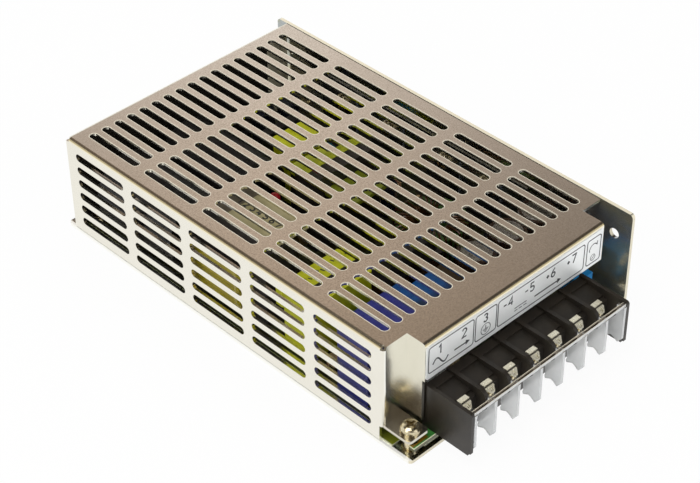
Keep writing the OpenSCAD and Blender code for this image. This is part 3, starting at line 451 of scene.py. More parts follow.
def taped_core():
    """Ferrite with tape over the rear of its top."""
    low = box("second_transformer_core")[0]
    tape_start, tape_full = 5.2, 5.4
    finish = Finish("taped_core", Coat_Weight=0.2)
    cloud = finish.noise(1.2, 5.0)
    black = finish.ramp(cloud, (0.3, rgb("1b1816")), (0.7, rgb("332e2a")))
    lime = finish.ramp(cloud, (0.3, rgb("9ea31c")), (0.7, rgb("bfc42c")))
    taped = finish.math("MULTIPLY",
                        finish.span(finish.along("Y"), low.y + tape_start, low.y + tape_full),
                        finish.span(finish.facing("Z"), 0.4, 0.6))
    finish.colour(finish.mix(taped, black, lime))
    finish.rough(finish.span(cloud, 0.3, 0.7, 0.4, 0.6))
    finish.bump(finish.noise(0.3, 3.0), 0.02)
    return finish


def boxed_film():
    """Yellow boxes, the left one with a dark band over its top."""
    low = box("yellow_film_capacitors")[0]
    band_front, band_rear = 2.2, 7.4
    finish = Finish("boxed_film")
    yellow = finish.tones(4.0, "c3c414", "d8da24")
    band = finish.math("MULTIPLY",
                       finish.inside(finish.along("Y"), low.y + band_front, low.y + band_rear, 0.1),
                       finish.span(finish.facing("Z"), 0.4, 0.6))
    finish.colour(finish.mix(band, yellow, rgb("15140c")))
    finish.grain(0.3, (0.3, 0.42), 0.02)
    return finish


def film_blue():
    """Violet blue box at the edge of the board, and a blue one beside it with a brown end."""
    violet_end, blue_end = -22.0, -4.2
    shade_full, shade_end = 2.0, 4.5
    low = box("blue_film_capacitors")[0]
    finish = Finish("film_blue", Coat_Weight=0.3, Coat_Roughness=0.15)
    violet = finish.tones(4.0, "2c3080", "3e4398")
    blue = finish.tones(4.0, "0c4684", "165ea2")
    shade = finish.span(finish.along("Y"), low.y + shade_full, low.y + shade_end, 0.8, 0.0)
    blue = finish.mix(shade, blue, rgb("1b2530"))
    across = finish.along("X")
    blue = finish.mix(finish.span(across, blue_end - 0.2, blue_end + 0.2), blue, rgb("3a2c18"))
    finish.colour(finish.mix(finish.span(across, violet_end - 0.5, violet_end + 0.5), violet, blue))
    finish.grain(0.3, (0.25, 0.38), 0.02)
    return finish


def coil_tape():
    """Tape over the second transformer's coil: bright behind the core, and olive before it, the
    lime darkened as painted shade.
    """
    low, high = box("second_transformer_winding")
    finish = Finish("second_transformer_winding", Coat_Weight=0.3, Coat_Roughness=0.2)
    cloud = finish.noise(4.0, 4.0, (3, 3, 1))
    lime = finish.ramp(cloud, (0.3, rgb("9ea31c")), (0.7, rgb("bfc42c")))
    # Painted shade: the olive is the lime tape darkened, put before the core.
    olive = finish.ramp(cloud, (0.3, rgb("707a18")), (0.7, rgb("8d9626")))
    middle = (low.y + high.y) / 2
    top = finish.mix(finish.span(finish.along("Y"), middle - 2, middle + 2), olive, lime)
    upper = finish.span(finish.along("Z"), high.z - 1.6, high.z - 1.3)
    finish.colour(finish.mix(upper, rgb("16130c"), top))
    finish.rough(finish.span(cloud, 0.3, 0.7, 0.3, 0.45))
    finish.bump(cloud, 0.05)
    return finish


def fuse_glass():
    """Glass between two brass end caps."""
    low, high = box("fuse")
    cap = 5.0
    finish = Finish("fuse_glass", Transmission_Weight=0.5, IOR=1.47)
    distance = finish.math("ABSOLUTE", finish.math("SUBTRACT", finish.along("X"),
                                                   (low.x + high.x) / 2))
    cap_share = finish.span(distance, (high.x - low.x) / 2 - cap - 0.05,
                            (high.x - low.x) / 2 - cap + 0.05)
    cloud = finish.noise(2.0, 4.0)
    glass = finish.ramp(cloud, (0.3, rgb("c9cfca")), (0.7, rgb("e6eae6")))
    brass = finish.ramp(cloud, (0.3, rgb("a9a07e")), (0.7, rgb("d8d2b4")))
    finish.colour(finish.mix(cap_share, glass, brass))
    finish.metal(cap_share)
    finish.rough(finish.span(cloud, 0.3, 0.7, 0.1, 0.25))
    finish.bump(cloud, 0.02)
    return finish


def wound_tape(name, dark, light, pitch):
    """Tape in lapped turns up a coil, with a thin shadow at each lap."""
    finish = Finish(name, Coat_Weight=0.5, Coat_Roughness=0.15)
    cloud = finish.noise(4.0, 4.0, (3, 3, 1))
    tone = finish.ramp(cloud, (0.3, rgb(dark)), (0.7, rgb(light)))
    turn = finish.math("FRACT", finish.math("DIVIDE", finish.along("Z"), pitch))
    lap = finish.inside(turn, 0.0, 0.08, 0.03)
    finish.colour(finish.mix(finish.math("MULTIPLY", lap, 0.6), tone, rgb("4c4708")))
    finish.rough(finish.span(cloud, 0.3, 0.7, 0.22, 0.4))
    finish.bump(turn, 0.15)
    return finish


def power_device(name):
    """Black moulding with a tinned tab and legs, told apart by their place."""
    low, high = box(name)
    leg_top = low.z + 6.6
    tab_bottom = high.z - 4.6
    finish = Finish(name)
    height = finish.along("Z")
    metal = finish.math("MAXIMUM", finish.span(height, leg_top - 0.05, leg_top + 0.05, 1.0, 0.0),
                        finish.span(height, tab_bottom - 0.05, tab_bottom + 0.05))
    black = finish.tones(2.0, "181716", "262423")
    tin = finish.tones(2.0, "a7a49c", "cfccc2")
    finish.colour(finish.mix(metal, black, tin))
    finish.metal(metal)
    finish.grain(0.3, (0.3, 0.5), 0.02)
    return finish


def banded_resistor():
    """A tan body with colour rings across its axis, and tinned leads."""
    finish = Finish("resistor_body", Coat_Weight=0.3)
    cloud = finish.noise(1.5, 4.0)
    body = finish.ramp(cloud, (0.3, rgb("b39468")), (0.7, rgb("cbb088")))
    ring = finish.math("FRACT", finish.math("DIVIDE", finish.along("X"), 1.7))
    dark_ring = finish.inside(ring, 0.1, 0.35, 0.03)
    finish.colour(finish.mix(dark_ring, body, rgb("6b2f1c")))
    finish.rough(finish.span(cloud, 0.3, 0.7, 0.3, 0.5))
    finish.bump(cloud, 0.03)
    return finish


CAD_PREFIX = "cad_"
METAL = {"Metallic": 1.0}
LACQUER = {"Coat_Weight": 0.6, "Coat_Roughness": 0.1}


def make_finishes():
    """Every finish by the record's slot name or, where one has its own, by the CAD node's."""
    for imported in list(bpy.data.materials):
        imported.name = CAD_PREFIX + imported.name
    made = [
        cover_plate(), chassis_zinc(), label_film(), board_laminate(), sheet_film(), clear_cover(),
        fuse_glass(), banded_resistor(), film_blue(), coil_tape(),
        wound_tape("tape_yellow", "a8981a", "cdbd2c", 2.6),
        wound_tape("tape_olive", "c2bf12", "dcdb28", 3.1),
        grained("hardware", "b0a380", "f2e7c8", (0.14, 0.28), 1.2, 0.3, 0.02, **METAL),
        grained("dark_screws", "3a3835", "5c5955", (0.28, 0.42), 1.2, 0.3, 0.02, **METAL),
        grained("block_black", "1d1914", "2b251d", (0.34, 0.46), 5.0, 0.22, 0.012),
        grained("clamp_plate", "f4edd2", "fffae6", (0.24, 0.3), 6.0, 3.0, 0.004, Metallic=0.6),
        grained("trimmer_blue", "0f78be", "2a9ade", (0.3, 0.42), 2.0, 0.25, 0.01),
        grained("rotor_white", "d2cfc4", "e9e6dc", (0.35, 0.5), 1.0, 0.2, 0.01),
        grained("clip_brass", "b8ab82", "dcd2ac", (0.2, 0.34), 1.5, 0.3, 0.02, **METAL),
        grained("ferrite", "1b1816", "332e2a", (0.5, 0.7), 1.2, 0.3, 0.05),
        grained("bobbin_black", "131110", "221f1d", (0.38, 0.5), 3.0, 0.25, 0.01),
        grained("copper_wire", "3c230f", "5f3c1a", (0.25, 0.35), 2.0, 0.3, 0.01, Metallic=0.5,
                **LACQUER),
        grained("film_yellow", "c3c414", "d8da24", (0.3, 0.42), 4.0, 0.3, 0.02),
        grained("wrap_grey", "5c5444", "766c58", (0.4, 0.55), 3.0, 0.3, 0.02),
        # The olive of this tape is the lime tape darkened, as painted shade.
        grained("tape_front", "707a18", "8d9626", (0.3, 0.45), 3.0, 0.4, 0.03),
        grained("bead_red", "a8141c", "cc2430", (0.25, 0.35), 2.0, 0.4, 0.03, **LACQUER),
        grained("disc_blue", "0f5468", "1b7486", (0.25, 0.35), 2.0, 0.4, 0.05, **LACQUER),
        grained("thermistor_green", "2c3a22", "41522f", (0.4, 0.55), 2.0, 0.4, 0.05),
        grained("varistor_orange", "43351a", "5a4826", (0.25, 0.35), 2.0, 0.4, 0.05, **LACQUER),
        grained("device_black", "191817", "272524", (0.4, 0.55), 2.0, 0.25, 0.02),
        grained("can_sleeve", "0f0e0d", "1a1816", (0.38, 0.48), 6.0, 2.0, 0.006, Coat_Weight=0.15,
                Coat_Roughness=0.3),
        grained("output_sleeve", "2a1c14", "3c2a1e", (0.2, 0.3), 5.0, 0.5, 0.02, **LACQUER),
        grained("small_sleeve", "15161c", "22242e", (0.2, 0.3), 4.0, 0.5, 0.02, **LACQUER),
        grained("label_khaki", "a59b70", "bfb58c", (0.35, 0.5), 8.0, 0.4, 0.01),
        grained("aluminium_bar", "9d9f9f", "c6c8c8", (0.26, 0.4), 6.0, 0.3, 0.02, (1, 12, 1),
                **METAL),
        grained("pad_grey", "6b7177", "868c92", (0.6, 0.8), 2.0, 0.3, 0.02),
        grained("choke_coat", "3d5a2a", "56763c", (0.25, 0.4), 2.0, 0.5, 0.05, **LACQUER),
        grained("link_wire", "b0aea6", "dedcd2", (0.18, 0.3), 1.0, 0.3, 0.01, **METAL),
        grained("print_dark", "2c2d30", "3b3c3f", (0.45, 0.6), 1.0, 0.2, 0.002),
        grained("lid_metal", "b5b5b2", "dfdfdb", (0.22, 0.34), 2.0, 0.3, 0.01, **METAL),
    ]
    found = {f.material.name: f.material for f in made}
    for node in ("power_transistors", "rectifier_diodes"):
        found[node] = power_device(node).material
    found["second_transformer_bobbin"] = found["second_transformer_winding"]
    found["second_transformer_core"] = taped_core().material
    found["yellow_film_capacitors"] = boxed_film().material
    return found


def dress_nodes(finishes):
    """Gives each CAD node the finish of its record slot, or one of its own."""
    for name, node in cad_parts.items():
        for slot in node.material_slots:
            record_slot = slot.material.name.removeprefix(CAD_PREFIX)
            slot.material = finishes.get(name) or finishes[record_slot]


# Mesh pieces, drawn in millimetres

def piece(name, shape, material, body="case", crease=35):
    bmesh.ops.recalc_face_normals(shape, faces=shape.faces)
    mesh = bpy.data.meshes.new(name)
    shape.to_mesh(mesh)
    shape.free()
    mesh.transform(Matrix.Scale(MM, 4))
    mesh.materials.append(material)
    mesh.shade_smooth()
    mesh.set_sharp_from_angle(angle=math.radians(crease))
    made = bpy.data.objects.new(name, mesh)
    bpy.context.scene.collection.objects.link(made)
    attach(made, body)
    return made


def circle(radius, count, start=0.0, sweep=2 * math.pi, centre=(0.0, 0.0)):
    """Points on an arc, with its end left out where it closes on itself."""
    steps = count if abs(sweep) >= 2 * math.pi - 1e-6 else count - 1
    return [(centre[0] + radius * math.cos(start + sweep * i / steps),
             centre[1] + radius * math.sin(start + sweep * i / steps)) for i in range(count)]


def rounded_rectangle(low, high, radius, count=5):
    """Corner points of a rectangle with round corners, anticlockwise."""
    centres = [(high[0] - radius, high[1] - radius), (low[0] + radius, high[1] - radius),
               (low[0] + radius, low[1] + radius), (high[0] - radius, low[1] + radius)]
    points = []
    for i, centre in enumerate(centres):
        points += circle(radius, count, i * math.pi / 2, math.pi / 2, centre)
    return points


def tube(shape, points, radius, sides=8, closed=False):
    """Sweeps a round section along the points."""
    count = len(points)
    turn = [2 * math.pi * k / sides for k in range(sides)]
    rings = []
    across = None
    for i, point in enumerate(points):
        before = points[i - 1] if closed or i else point
        after = points[(i + 1) % count] if closed or i < count - 1 else point
        tangent = (after - before).normalized()
        if across is None:
            across = tangent.orthogonal()
        across = (across - tangent * across.dot(tangent)).normalized()
        side = tangent.cross(across)
        rings.append([shape.verts.new(point + radius * (math.cos(a) * across + math.sin(a) * side))
                      for a in turn])
    for first, second in zip(rings, rings[1:] + rings[:1] if closed else rings[1:]):
        for k in range(sides):
            shape.faces.new((first[k], first[(k + 1) % sides], second[(k + 1) % sides], second[k]))
    if not closed:
        shape.faces.new(rings[0])
        shape.faces.new(rings[-1])


def prism(shape, outline, low, high, place):
    """A closed prism over a flat outline. place turns (u, v, height) into a point."""
    bottom = [shape.verts.new(place(u, v, low)) for u, v in outline]
    top = [shape.verts.new(place(u, v, high)) for u, v in outline]
    shape.faces.new(bottom)
    shape.faces.new(top)
    for i in range(len(outline)):
        k = (i + 1) % len(outline)
        shape.faces.new((bottom[i], bottom[k], top[k], top[i]))


def stroke(shape, points, width, thickness, place, closed=False):
    """A flat line of a width along the points, with mitred corners."""
    count = len(points)
    rows = []
    for i, point in enumerate(points):
        before = points[i - 1] if closed or i else point
        after = points[(i + 1) % count] if closed or i < count - 1 else point
        here = Vector(point)
        into = (here - Vector(before)).normalized() if before is not point else None
        out = (Vector(after) - here).normalized() if after is not point else None
        into = into or out
        out = out or into
        bisector = (into + out).normalized()
        normal = Vector((-bisector.y, bisector.x))
        reach = width / 2 / max(0.5, normal.dot(Vector((-out.y, out.x))))
        sides = [here + normal * reach, here - normal * reach]
        rows.append([shape.verts.new(place(s.x, s.y, h)) for s in sides for h in (0.0, thickness)])
    for first, second in zip(rows, rows[1:] + rows[:1] if closed else rows[1:]):
        for a, b in ((0, 1), (1, 3), (3, 2), (2, 0)):
            shape.faces.new((first[a], first[b], second[b], second[a]))
    if not closed:
        for row in (rows[0], rows[-1]):
            shape.faces.new((row[0], row[1], row[3], row[2]))


def upright(at):
    """Place function for shapes that lie flat at a point, with height along Z."""
    return lambda u, v, height: Vector((at[0] + u, at[1] + v, at[2] + height))


# Front label: framed panels with plain numbers and symbols

LABEL_TILT = math.radians(-0.7)
INK = 0.03
LABEL_STROKE = 0.5
FRAME_STROKE = 0.36
PANEL_LOW = 1.6
PANEL_HIGH = 11.2
PANELS = [(0.8, 19.6), (20.4, 29.4), (30.1, 69.0), (70.3, 76.7)]
DIGITS = {
    "1": [[(0.12, 0.78), (0.36, 1.0), (0.36, 0.0)]],
    "2": [circle(0.27, 9, math.radians(165), math.radians(-205), (0.31, 0.73))
          + [(0.03, 0.0), (0.6, 0.0)]],
    "3": [circle(0.25, 9, math.radians(150), math.radians(-240), (0.3, 0.75)),
          circle(0.27, 9, math.radians(90), math.radians(-250), (0.3, 0.27))],
    "4": [[(0.46, 0.0), (0.46, 1.0), (0.03, 0.3), (0.62, 0.3)]],
    "5": [[(0.55, 1.0), (0.12, 1.0), (0.09, 0.56)]
          + circle(0.29, 9, math.radians(125), math.radians(-270), (0.3, 0.3))],
    "6": [[(0.5, 1.0), (0.2, 0.68), (0.05, 0.36)]
          + circle(0.26, 14, math.radians(165), math.radians(360) - 1e-3, (0.31, 0.28))],
    "7": [[(0.03, 1.0), (0.6, 1.0), (0.24, 0.0)]],
}


def label_place():
    """Place function on the face of the label, from its lower left corner."""
    low, high = box("front_label")
    pivot = Vector(((high.x - low.x) / 2, (high.z - low.z) / 2))

    def place(u, v, height):
        turned = Matrix.Rotation(LABEL_TILT, 2) @ (Vector((u, v)) - pivot) + pivot
        return Vector((low.x + turned.x, low.y - height, low.z + turned.y))

    return place


def arrow_head(tip, direction, size):
    """Two short strokes that meet at an arrow's tip."""
    back = [Vector(tip) - Matrix.Rotation(turn, 2) @ Vector(direction).normalized() * size
            for turn in (0.5, -0.5)]
    return [tuple(back[0]), tip, tuple(back[1])]


def label_lines():
    """Every drawn line of the label as (points, width, closed), from its lower left corner."""
    lines = []
    for left, right in PANELS:
        lines.append((rounded_rectangle((left, PANEL_LOW), (right, PANEL_HIGH), 0.9),
                      FRAME_STROKE, True))

    def line(start, end, width=LABEL_STROKE):
        lines.append(([start, end], width, False))

    def digit(mark, at, height=3.2):
        for points in DIGITS[mark]:
            lines.append(([(at[0] + x * height, at[1] + y * height) for x, y in points],
                          LABEL_STROKE, False))

    def sign(at, plus, reach=0.6):
        line((at[0] - reach, at[1]), (at[0] + reach, at[1]))
        if plus:
            line((at[0], at[1] - reach), (at[0], at[1] + reach))

    def arrow(left, right, row, size=1.4):
        line((left, row), (right, row))
        lines.append((arrow_head((right, row), (1, 0), size), LABEL_STROKE, False))

    number_row = 6.8
    # Mains panel: numbers, a sine wave and an arrow
    mains_row, wave_left, wave_length, wave_height, wave_steps = 4.2, 2.6, 6.4, 1.5, 24
    digit("1", (4.6, number_row))
    digit("2", (14.6, number_row))
    wave = [(wave_left + wave_length * t / wave_steps,
             mains_row + wave_height * math.sin(2 * math.pi * t / wave_steps))
            for t in range(wave_steps + 1)]
    lines.append((wave, LABEL_STROKE, False))
    arrow(11.6, 17.6, mains_row)
    # Earth panel: number and earth sign in a ring
    earth, earth_top, earth_radius, bar_pitch, thin = (24.9, 4.3), 5.7, 2.0, 0.5, 0.22
    digit("3", (23.8, 7.2), 2.9)
    lines.append((circle(earth_radius, 28, centre=earth), thin, True))
    line(earth, (earth[0], earth_top), 0.26)
    for step, reach in enumerate((1.2, 0.8, 0.4)):
        level = earth[1] - bar_pitch * step
        line((earth[0] - reach, level), (earth[0] + reach, level), thin)
    # Output panel: signs with numbers, direct current bars and an arrow
    first_output, output_pitch, sign_row, sign_offset = 34.6, 9.5, 8.2, 1.5
    bar_left, bar_right, bar_row, bar_stroke = 37.5, 42.9, 4.4, 0.28
    dash_right, dash_pitch, dash_row = 38.9, 2.0, 3.4
    for i, (mark, plus) in enumerate((("4", False), ("5", False), ("6", True), ("7", True))):
        across = first_output + output_pitch * i
        sign((across - sign_offset, sign_row), plus)
        digit(mark, (across, number_row))
    line((bar_left, bar_row), (bar_right, bar_row), bar_stroke)
    for i in range(3):
        line((bar_left + dash_pitch * i, dash_row), (dash_right + dash_pitch * i, dash_row),
             bar_stroke)
    arrow(46.5, 58.0, 3.9)
    # Setting panel: a turning arrow over a slotted disc
    dial_x, turn_row, disc_row, turn_stroke = 73.4, 7.0, 3.7, 0.3
    bend = circle(1.9, 12, math.radians(195), math.radians(-160), (dial_x, turn_row))
    lines.append((bend, turn_stroke, False))
    lines.append((arrow_head(bend[-1], (0.4, -1), 1.2), turn_stroke, False))
    lines.append((circle(1.1, 18, centre=(dial_x, disc_row)), 0.2, True))
    line((72.8, 3.2), (74.0, 4.2), 0.26)
    return lines


def label_print(finishes):
    shape = bmesh.new()
    place = label_place()
    for points, width, closed in label_lines():
        stroke(shape, points, width, INK, place, closed)
    piece("label_print", shape, finishes["print_dark"])


# Windings

def choke_winding(finishes):
    """The toroid's wire as one helix that fills its solid's section."""
    core_low, core_high = box("output_choke_core")
    low, high = box("output_choke_winding")
    centre = (core_low + core_high) / 2
    wire = 0.43
    outer = (high.x - low.x) / 2 - wire
    inner, bend = 5.9, 1.2
    bottom, top = low.z + wire, high.z - wire
    turns, start, sweep = 34, math.radians(25), math.radians(300)
    section = rounded_rectangle((inner, bottom), (outer, top), bend, 3)
    points = []
    for i in range(turns * len(section) + 1):
        radius, height = section[i % len(section)]
        angle = start + sweep * i / (turns * len(section))
        points.append(Vector((centre.x + radius * math.cos(angle),
                              centre.y + radius * math.sin(angle), height)))
    shape = bmesh.new()
    tube(shape, points, wire, 7)
    made = piece("choke_wire", shape, finishes["copper_wire"])
    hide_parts("output_choke_winding")


def line_filter_turns(finishes):
    """Two coils of wire, one on each leg of the line filter's core."""
    low, high = box("line_filter_windings")
    core_low, core_high = box("line_filter_core")
    wire, turn_pitch, bend, leg = 0.52, 2.1, 1.4, 5.0
    half = ((high.x - low.x) - (core_high.x - core_low.x) + leg) / 2
    shape = bmesh.new()
    for side in (core_low.x + leg / 2, core_high.x - leg / 2):
        section = rounded_rectangle((side - half + wire, low.y + wire),
                                    (side + half - wire, high.y - wire), bend, 4)
        turns = int((high.z - low.z - 2 * wire) / (turn_pitch * wire))
        rise = (high.z - low.z - 2 * wire) / (turns * len(section))
        points = [Vector((*section[i % len(section)], low.z + wire + rise * i))
                  for i in range(turns * len(section) + 1)]
        tube(shape, points, wire, 7)
    made = piece("line_filter_wire", shape, finishes["copper_wire"])
    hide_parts("line_filter_windings")


# Capacitors

def lids(finishes):
    """Aluminium lids with a scored cross in the mouths of the upright cans."""
    shape = bmesh.new()
    low, high = box("output_capacitors")
    radius = (high.y - low.y) / 2
    count, sunk, lid_share = 3, 0.4, 0.8
    pitch = (high.x - low.x - 2 * radius) / (count - 1)
    for i in range(count):
        can_lid(shape, (low.x + radius + pitch * i, low.y + radius, high.z - sunk),
                radius * lid_share)
    piece("can_lids", shape, finishes["lid_metal"])


def can_lid(shape, at, radius):
    """A disc with four raised quarters, parted by the scored cross."""
    groove, disc, raised, rim_share = 0.12, 0.12, 0.26, 0.92
    prism(shape, circle(radius, 32), 0.0, disc, upright(at))
    for quarter in range(4):
        turn = Matrix.Rotation(quarter * math.pi / 2, 2)
        arc = circle(radius * rim_share, 9, groove / radius, math.pi / 2 - 2 * groove / radius)
        outline = [tuple(turn @ Vector(p)) for p in [(groove, groove)] + arc]
        prism(shape, outline, disc, raised, upright(at))


# Transformers and boxes

def slab(shape, low, high, radius=0.6):
    """A block with rounded upright edges between two corners."""
    outline = rounded_rectangle((low[0], low[1]), (high[0], high[1]), radius)
    prism(shape, outline, low[2], high[2], upright((0, 0, 0)))


def transformer_wraps(finishes):
    """Paper label, grey wrap and plain numbers, partly past the main transformer's core."""
    low, high = box("main_transformer_label")
    left, right, seam, seam_gap, wrap_drop = -34.3, -18.9, 15.1, 0.1, 0.05
    digit_left, digit_start, digit_height, digit_pitch, ink_width = -27.6, 17.4, 2.5, 2.9, 0.55
    shape = bmesh.new()
    slab(shape, (left, low.y, low.z), (right, seam, high.z))
    made = piece("transformer_label", shape, finishes["label_khaki"])
    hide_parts("main_transformer_label")
    shape = bmesh.new()
    slab(shape, (left, seam + seam_gap, low.z), (right, high.y, high.z - wrap_drop))
    piece("transformer_wrap", shape, finishes["wrap_grey"])
    shape = bmesh.new()
    for step, mark in enumerate("1234567"):
        for points in DIGITS[mark]:
            line = [(digit_pitch * step + x * digit_height, y * digit_height) for x, y in points]
            stroke(shape, line, ink_width, INK, lambda u, v, height: Vector(
                (digit_left + v, digit_start - u, high.z + height)))
    piece("transformer_print", shape, finishes["print_dark"])


def coil_front(finishes):
    """Strip of tape before the second transformer's winding, olive as the lime tape darkened by
    painted shade.
    """
    low, high = box("second_transformer_winding")
    inset, reach, gap, below, above, corner = 0.6, 2.3, 0.05, 0.5, 0.8, 1.0
    shape = bmesh.new()
    slab(shape, (low.x + inset, low.y - reach, high.z - below),
         (high.x - inset, low.y - gap, high.z + above), corner)
    piece("coil_front", shape, finishes["tape_front"])


def film_sleeve(finishes):
    """Yellow sleeve behind the left film capacitor, with plain marks on top."""
    low = box("yellow_film_capacitors")[0]
    length, front, rear, bottom, top = 26.5, 11.6, 15.0, 20.0, 26.1
    mark_lean, mark_width = 0.5, 0.5
    shape = bmesh.new()
    slab(shape, (low.x, low.y + front, bottom), (low.x + length, low.y + rear, top))
    piece("film_sleeve", shape, finishes["film_yellow"])
    shape = bmesh.new()
    for start, reach in (((-34.5, -19.2), 1.7), ((-32.9, -20.4), 1.3), ((-29.0, -18.6), 1.8),
                         ((-27.4, -20.0), 1.5), ((-22.2, -18.8), 1.4), ((-20.9, -20.6), 1.6)):
        stroke(shape, [start, (start[0] + mark_lean, start[1] - reach)], mark_width, INK,
               upright((0, 0, top)))
    piece("film_print", shape, finishes["print_dark"])


def dipped_bead(finishes):
    """A red dipped part on two leads between the transformers."""
    at = Vector((-12.3, 17.0, 24.6))
    radius, lead_offset, lead_radius, lead_bend, lead_foot = 2.3, 1.2, 0.25, 12.0, 4.7
    lead_start, lead_forward = 1.5, 1.5
    shape = bmesh.new()
    bmesh.ops.create_uvsphere(shape, u_segments=20, v_segments=12, radius=radius)
    bmesh.ops.scale(shape, vec=(1.0, 0.8, 1.05), verts=shape.verts)
    bmesh.ops.translate(shape, vec=at, verts=shape.verts)
    piece("dipped_bead", shape, finishes["bead_red"])
    shape = bmesh.new()
    for side in (-lead_offset, lead_offset):
        tube(shape, [at + Vector((side, 0, -lead_start)),
                     Vector((at.x + side, at.y - lead_forward, lead_bend)),
                     Vector((at.x + side, at.y - lead_forward, lead_foot))], lead_radius)
    piece("bead_leads", shape, finishes["link_wire"])


def rear_tongue(finishes):
    """A sheet tongue inside the rear wall's free edge, beside the chassis wall."""
    left, right, front, rear, bottom, top = 37.5, 47.1, 74.1, 74.65, 2.0, 36.9
    shape = bmesh.new()
    slab(shape, (left, front, bottom), (right, rear, top), 0.2)
    piece("rear_tongue", shape, finishes["chassis_zinc"])


# Scene

# The studio that the metal mirrors: a white backdrop that ends in a warm dark ceiling
STUDIO_BY_HEIGHT = [
    (0.30, (0.97, 0.97, 0.97)), (0.48, (0.93, 0.90, 0.88)), (0.53, (0.86, 0.76, 0.71)),
    (0.56, (0.74, 0.60, 0.52)), (0.59, (0.66, 0.50, 0.41)), (0.62, (0.55, 0.41, 0.31)),
    (0.65, (0.42, 0.305, 0.215)), (0.70, (0.30, 0.21, 0.145)), (0.90, (0.14, 0.11, 0.08)),
]
# Share of that light by the direction's X less Y: brightest straight behind the object
STUDIO_ACROSS = [
    (-0.6, 0.4), (-0.25, 0.62), (-0.165, 0.8), (-0.12, 0.93), (-0.08, 1.0), (-0.05, 1.0),
    (-0.01, 0.92), (0.03, 0.78), (0.07, 0.66), (0.105, 0.54), (0.15, 0.4), (0.4, 0.25), (1.2, 0.2),
]


def make_floor():
    """A pale matt floor that the camera and mirrors see almost white."""
    half_size, drop, white_share = 3.0, 0.0002, 0.94
    shape = bmesh.new()
    bmesh.ops.create_grid(shape, x_segments=1, y_segments=1, size=half_size)
    mesh = bpy.data.meshes.new("floor")
    shape.to_mesh(mesh)
    shape.free()
    floor = bpy.data.objects.new("floor", mesh)
    floor.location.z = -drop
    bpy.context.scene.collection.objects.link(floor)
    material = bpy.data.materials.new("floor")
    material.use_nodes = True
    nodes, links = material.node_tree.nodes, material.node_tree.links
    shader = nodes["Principled BSDF"]
    shader.inputs["Base Color"].default_value = (0.8, 0.8, 0.79, 1)
    shader.inputs["Roughness"].default_value = 0.9
    white = nodes.new("ShaderNodeEmission")
    path = nodes.new("ShaderNodeLightPath")
    seen = nodes.new("ShaderNodeMath")
    seen.operation = "MAXIMUM"
    links.new(path.outputs["Is Camera Ray"], seen.inputs[0])
    reflected = nodes.new("ShaderNodeMath")
    reflected.operation = "MAXIMUM"
    links.new(path.outputs["Is Glossy Ray"], reflected.inputs[0])
    links.new(path.outputs["Is Transmission Ray"], reflected.inputs[1])
    links.new(reflected.outputs[0], seen.inputs[1])
    share = nodes.new("ShaderNodeMath")
    share.operation = "MULTIPLY"
    share.inputs[1].default_value = white_share
    links.new(seen.outputs[0], share.inputs[0])
    mix = nodes.new("ShaderNodeMixShader")
    links.new(share.outputs[0], mix.inputs["Fac"])
    links.new(shader.outputs[0], mix.inputs[1])
    links.new(white.outputs[0], mix.inputs[2])
    links.new(mix.outputs[0], nodes["Material Output"].inputs["Surface"])
    mesh.materials.append(material)


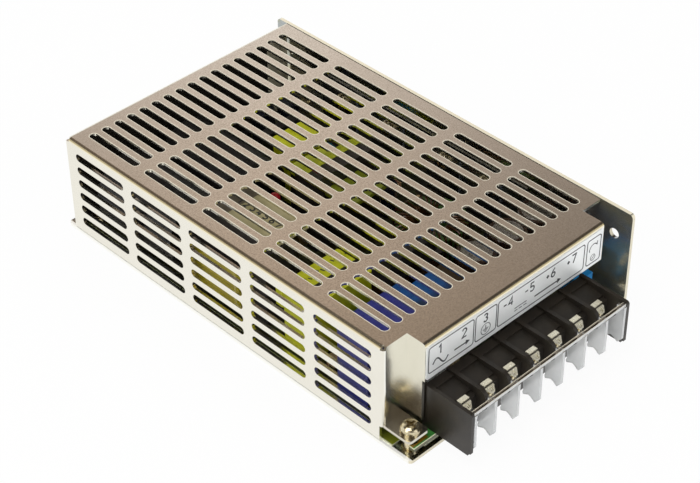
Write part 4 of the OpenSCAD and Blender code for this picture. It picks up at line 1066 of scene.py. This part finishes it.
def make_world():
    """Even soft light, white behind the object and a warm grey studio above for reflections."""
    world = bpy.data.worlds.new("studio")
    bpy.context.scene.world = world
    world.use_nodes = True
    nodes, links = world.node_tree.nodes, world.node_tree.links
    soft = nodes["Background"]
    soft.inputs["Color"].default_value = (0.98, 0.99, 1.0, 1)
    soft.inputs["Strength"].default_value = 0.85
    studio = nodes.new("ShaderNodeBackground")
    studio.inputs["Strength"].default_value = 1.0
    direction = nodes.new("ShaderNodeTexCoord")
    height = nodes.new("ShaderNodeSeparateXYZ")
    links.new(direction.outputs["Generated"], height.inputs[0])
    ramp = stops_ramp(nodes, [(h, (*colour, 1)) for h, colour in STUDIO_BY_HEIGHT])
    links.new(height.outputs["Z"], ramp.inputs["Fac"])
    first, last = STUDIO_ACROSS[0][0], STUDIO_ACROSS[-1][0]
    across = stops_ramp(nodes, [((a - first) / (last - first), (share, share, share, 1))
                                for a, share in STUDIO_ACROSS])
    less = nodes.new("ShaderNodeMath")
    less.operation = "SUBTRACT"
    links.new(height.outputs["X"], less.inputs[0])
    links.new(height.outputs["Y"], less.inputs[1])
    links.new(range_node(nodes, links, less.outputs[0], first, last, 0, 1), across.inputs["Fac"])
    more = nodes.new("ShaderNodeMath")
    links.new(height.outputs["X"], more.inputs[0])
    links.new(height.outputs["Y"], more.inputs[1])
    behind = nodes.new("ShaderNodeMath")
    behind.operation = "MULTIPLY"
    links.new(across.outputs["Color"], behind.inputs[0])
    links.new(range_node(nodes, links, more.outputs[0], -0.2, 0.8, 0.35, 1), behind.inputs[1])
    share = nodes.new("ShaderNodeMix")
    share.inputs[2].default_value = 1.0
    links.new(range_node(nodes, links, height.outputs["Z"], 0.4, 0.52, 0, 1), share.inputs[0])
    links.new(behind.outputs[0], share.inputs[3])
    dimmed = nodes.new("ShaderNodeVectorMath")
    dimmed.operation = "SCALE"
    links.new(ramp.outputs["Color"], dimmed.inputs[0])
    links.new(share.outputs[0], dimmed.inputs["Scale"])
    links.new(dimmed.outputs["Vector"], studio.inputs["Color"])
    white = nodes.new("ShaderNodeBackground")
    white.inputs["Color"].default_value = (1, 1, 1, 1)
    path = nodes.new("ShaderNodeLightPath")
    glossy = nodes.new("ShaderNodeMixShader")
    links.new(path.outputs["Is Glossy Ray"], glossy.inputs["Fac"])
    links.new(soft.outputs[0], glossy.inputs[1])
    links.new(studio.outputs[0], glossy.inputs[2])
    seen = nodes.new("ShaderNodeMixShader")
    links.new(path.outputs["Is Camera Ray"], seen.inputs["Fac"])
    links.new(glossy.outputs[0], seen.inputs[1])
    links.new(white.outputs[0], seen.inputs[2])
    links.new(seen.outputs[0], nodes["World Output"].inputs["Surface"])


def area_light(name, at, target, size, power, colour=(1, 1, 1)):
    data = bpy.data.lights.new(name, "AREA")
    data.shape = "RECTANGLE"
    data.size, data.size_y = size
    data.energy = power
    data.color = colour
    light = bpy.data.objects.new(name, data)
    light.location = at
    light.rotation_mode = "QUATERNION"
    light.rotation_quaternion = (Vector(target) - Vector(at)).to_track_quat("-Z", "Y")
    bpy.context.scene.collection.objects.link(light)


def make_lights():
    area_light("left_softbox", (-0.8, -0.1, 0.6), (0, 0, 0.02), (0.5, 0.5), 1.6)
    area_light("front_softbox", (0.2, -0.9, 0.7), (0, -0.05, 0.02), (0.5, 0.4), 1.2)
    area_light("top_softbox", (-0.25, 0.05, 1.1), (0, 0, 0.02), (0.5, 0.5), 3.0, (1, 0.97, 0.93))


bpy.context.scene.view_settings.view_transform = "Standard"
make_camera()
make_world()
make_floor()
make_lights()
finishes = make_finishes()
dress_nodes(finishes)
label_print(finishes)
choke_winding(finishes)
line_filter_turns(finishes)
lids(finishes)
transformer_wraps(finishes)
coil_front(finishes)
film_sleeve(finishes)
dipped_bead(finishes)
rear_tongue(finishes)
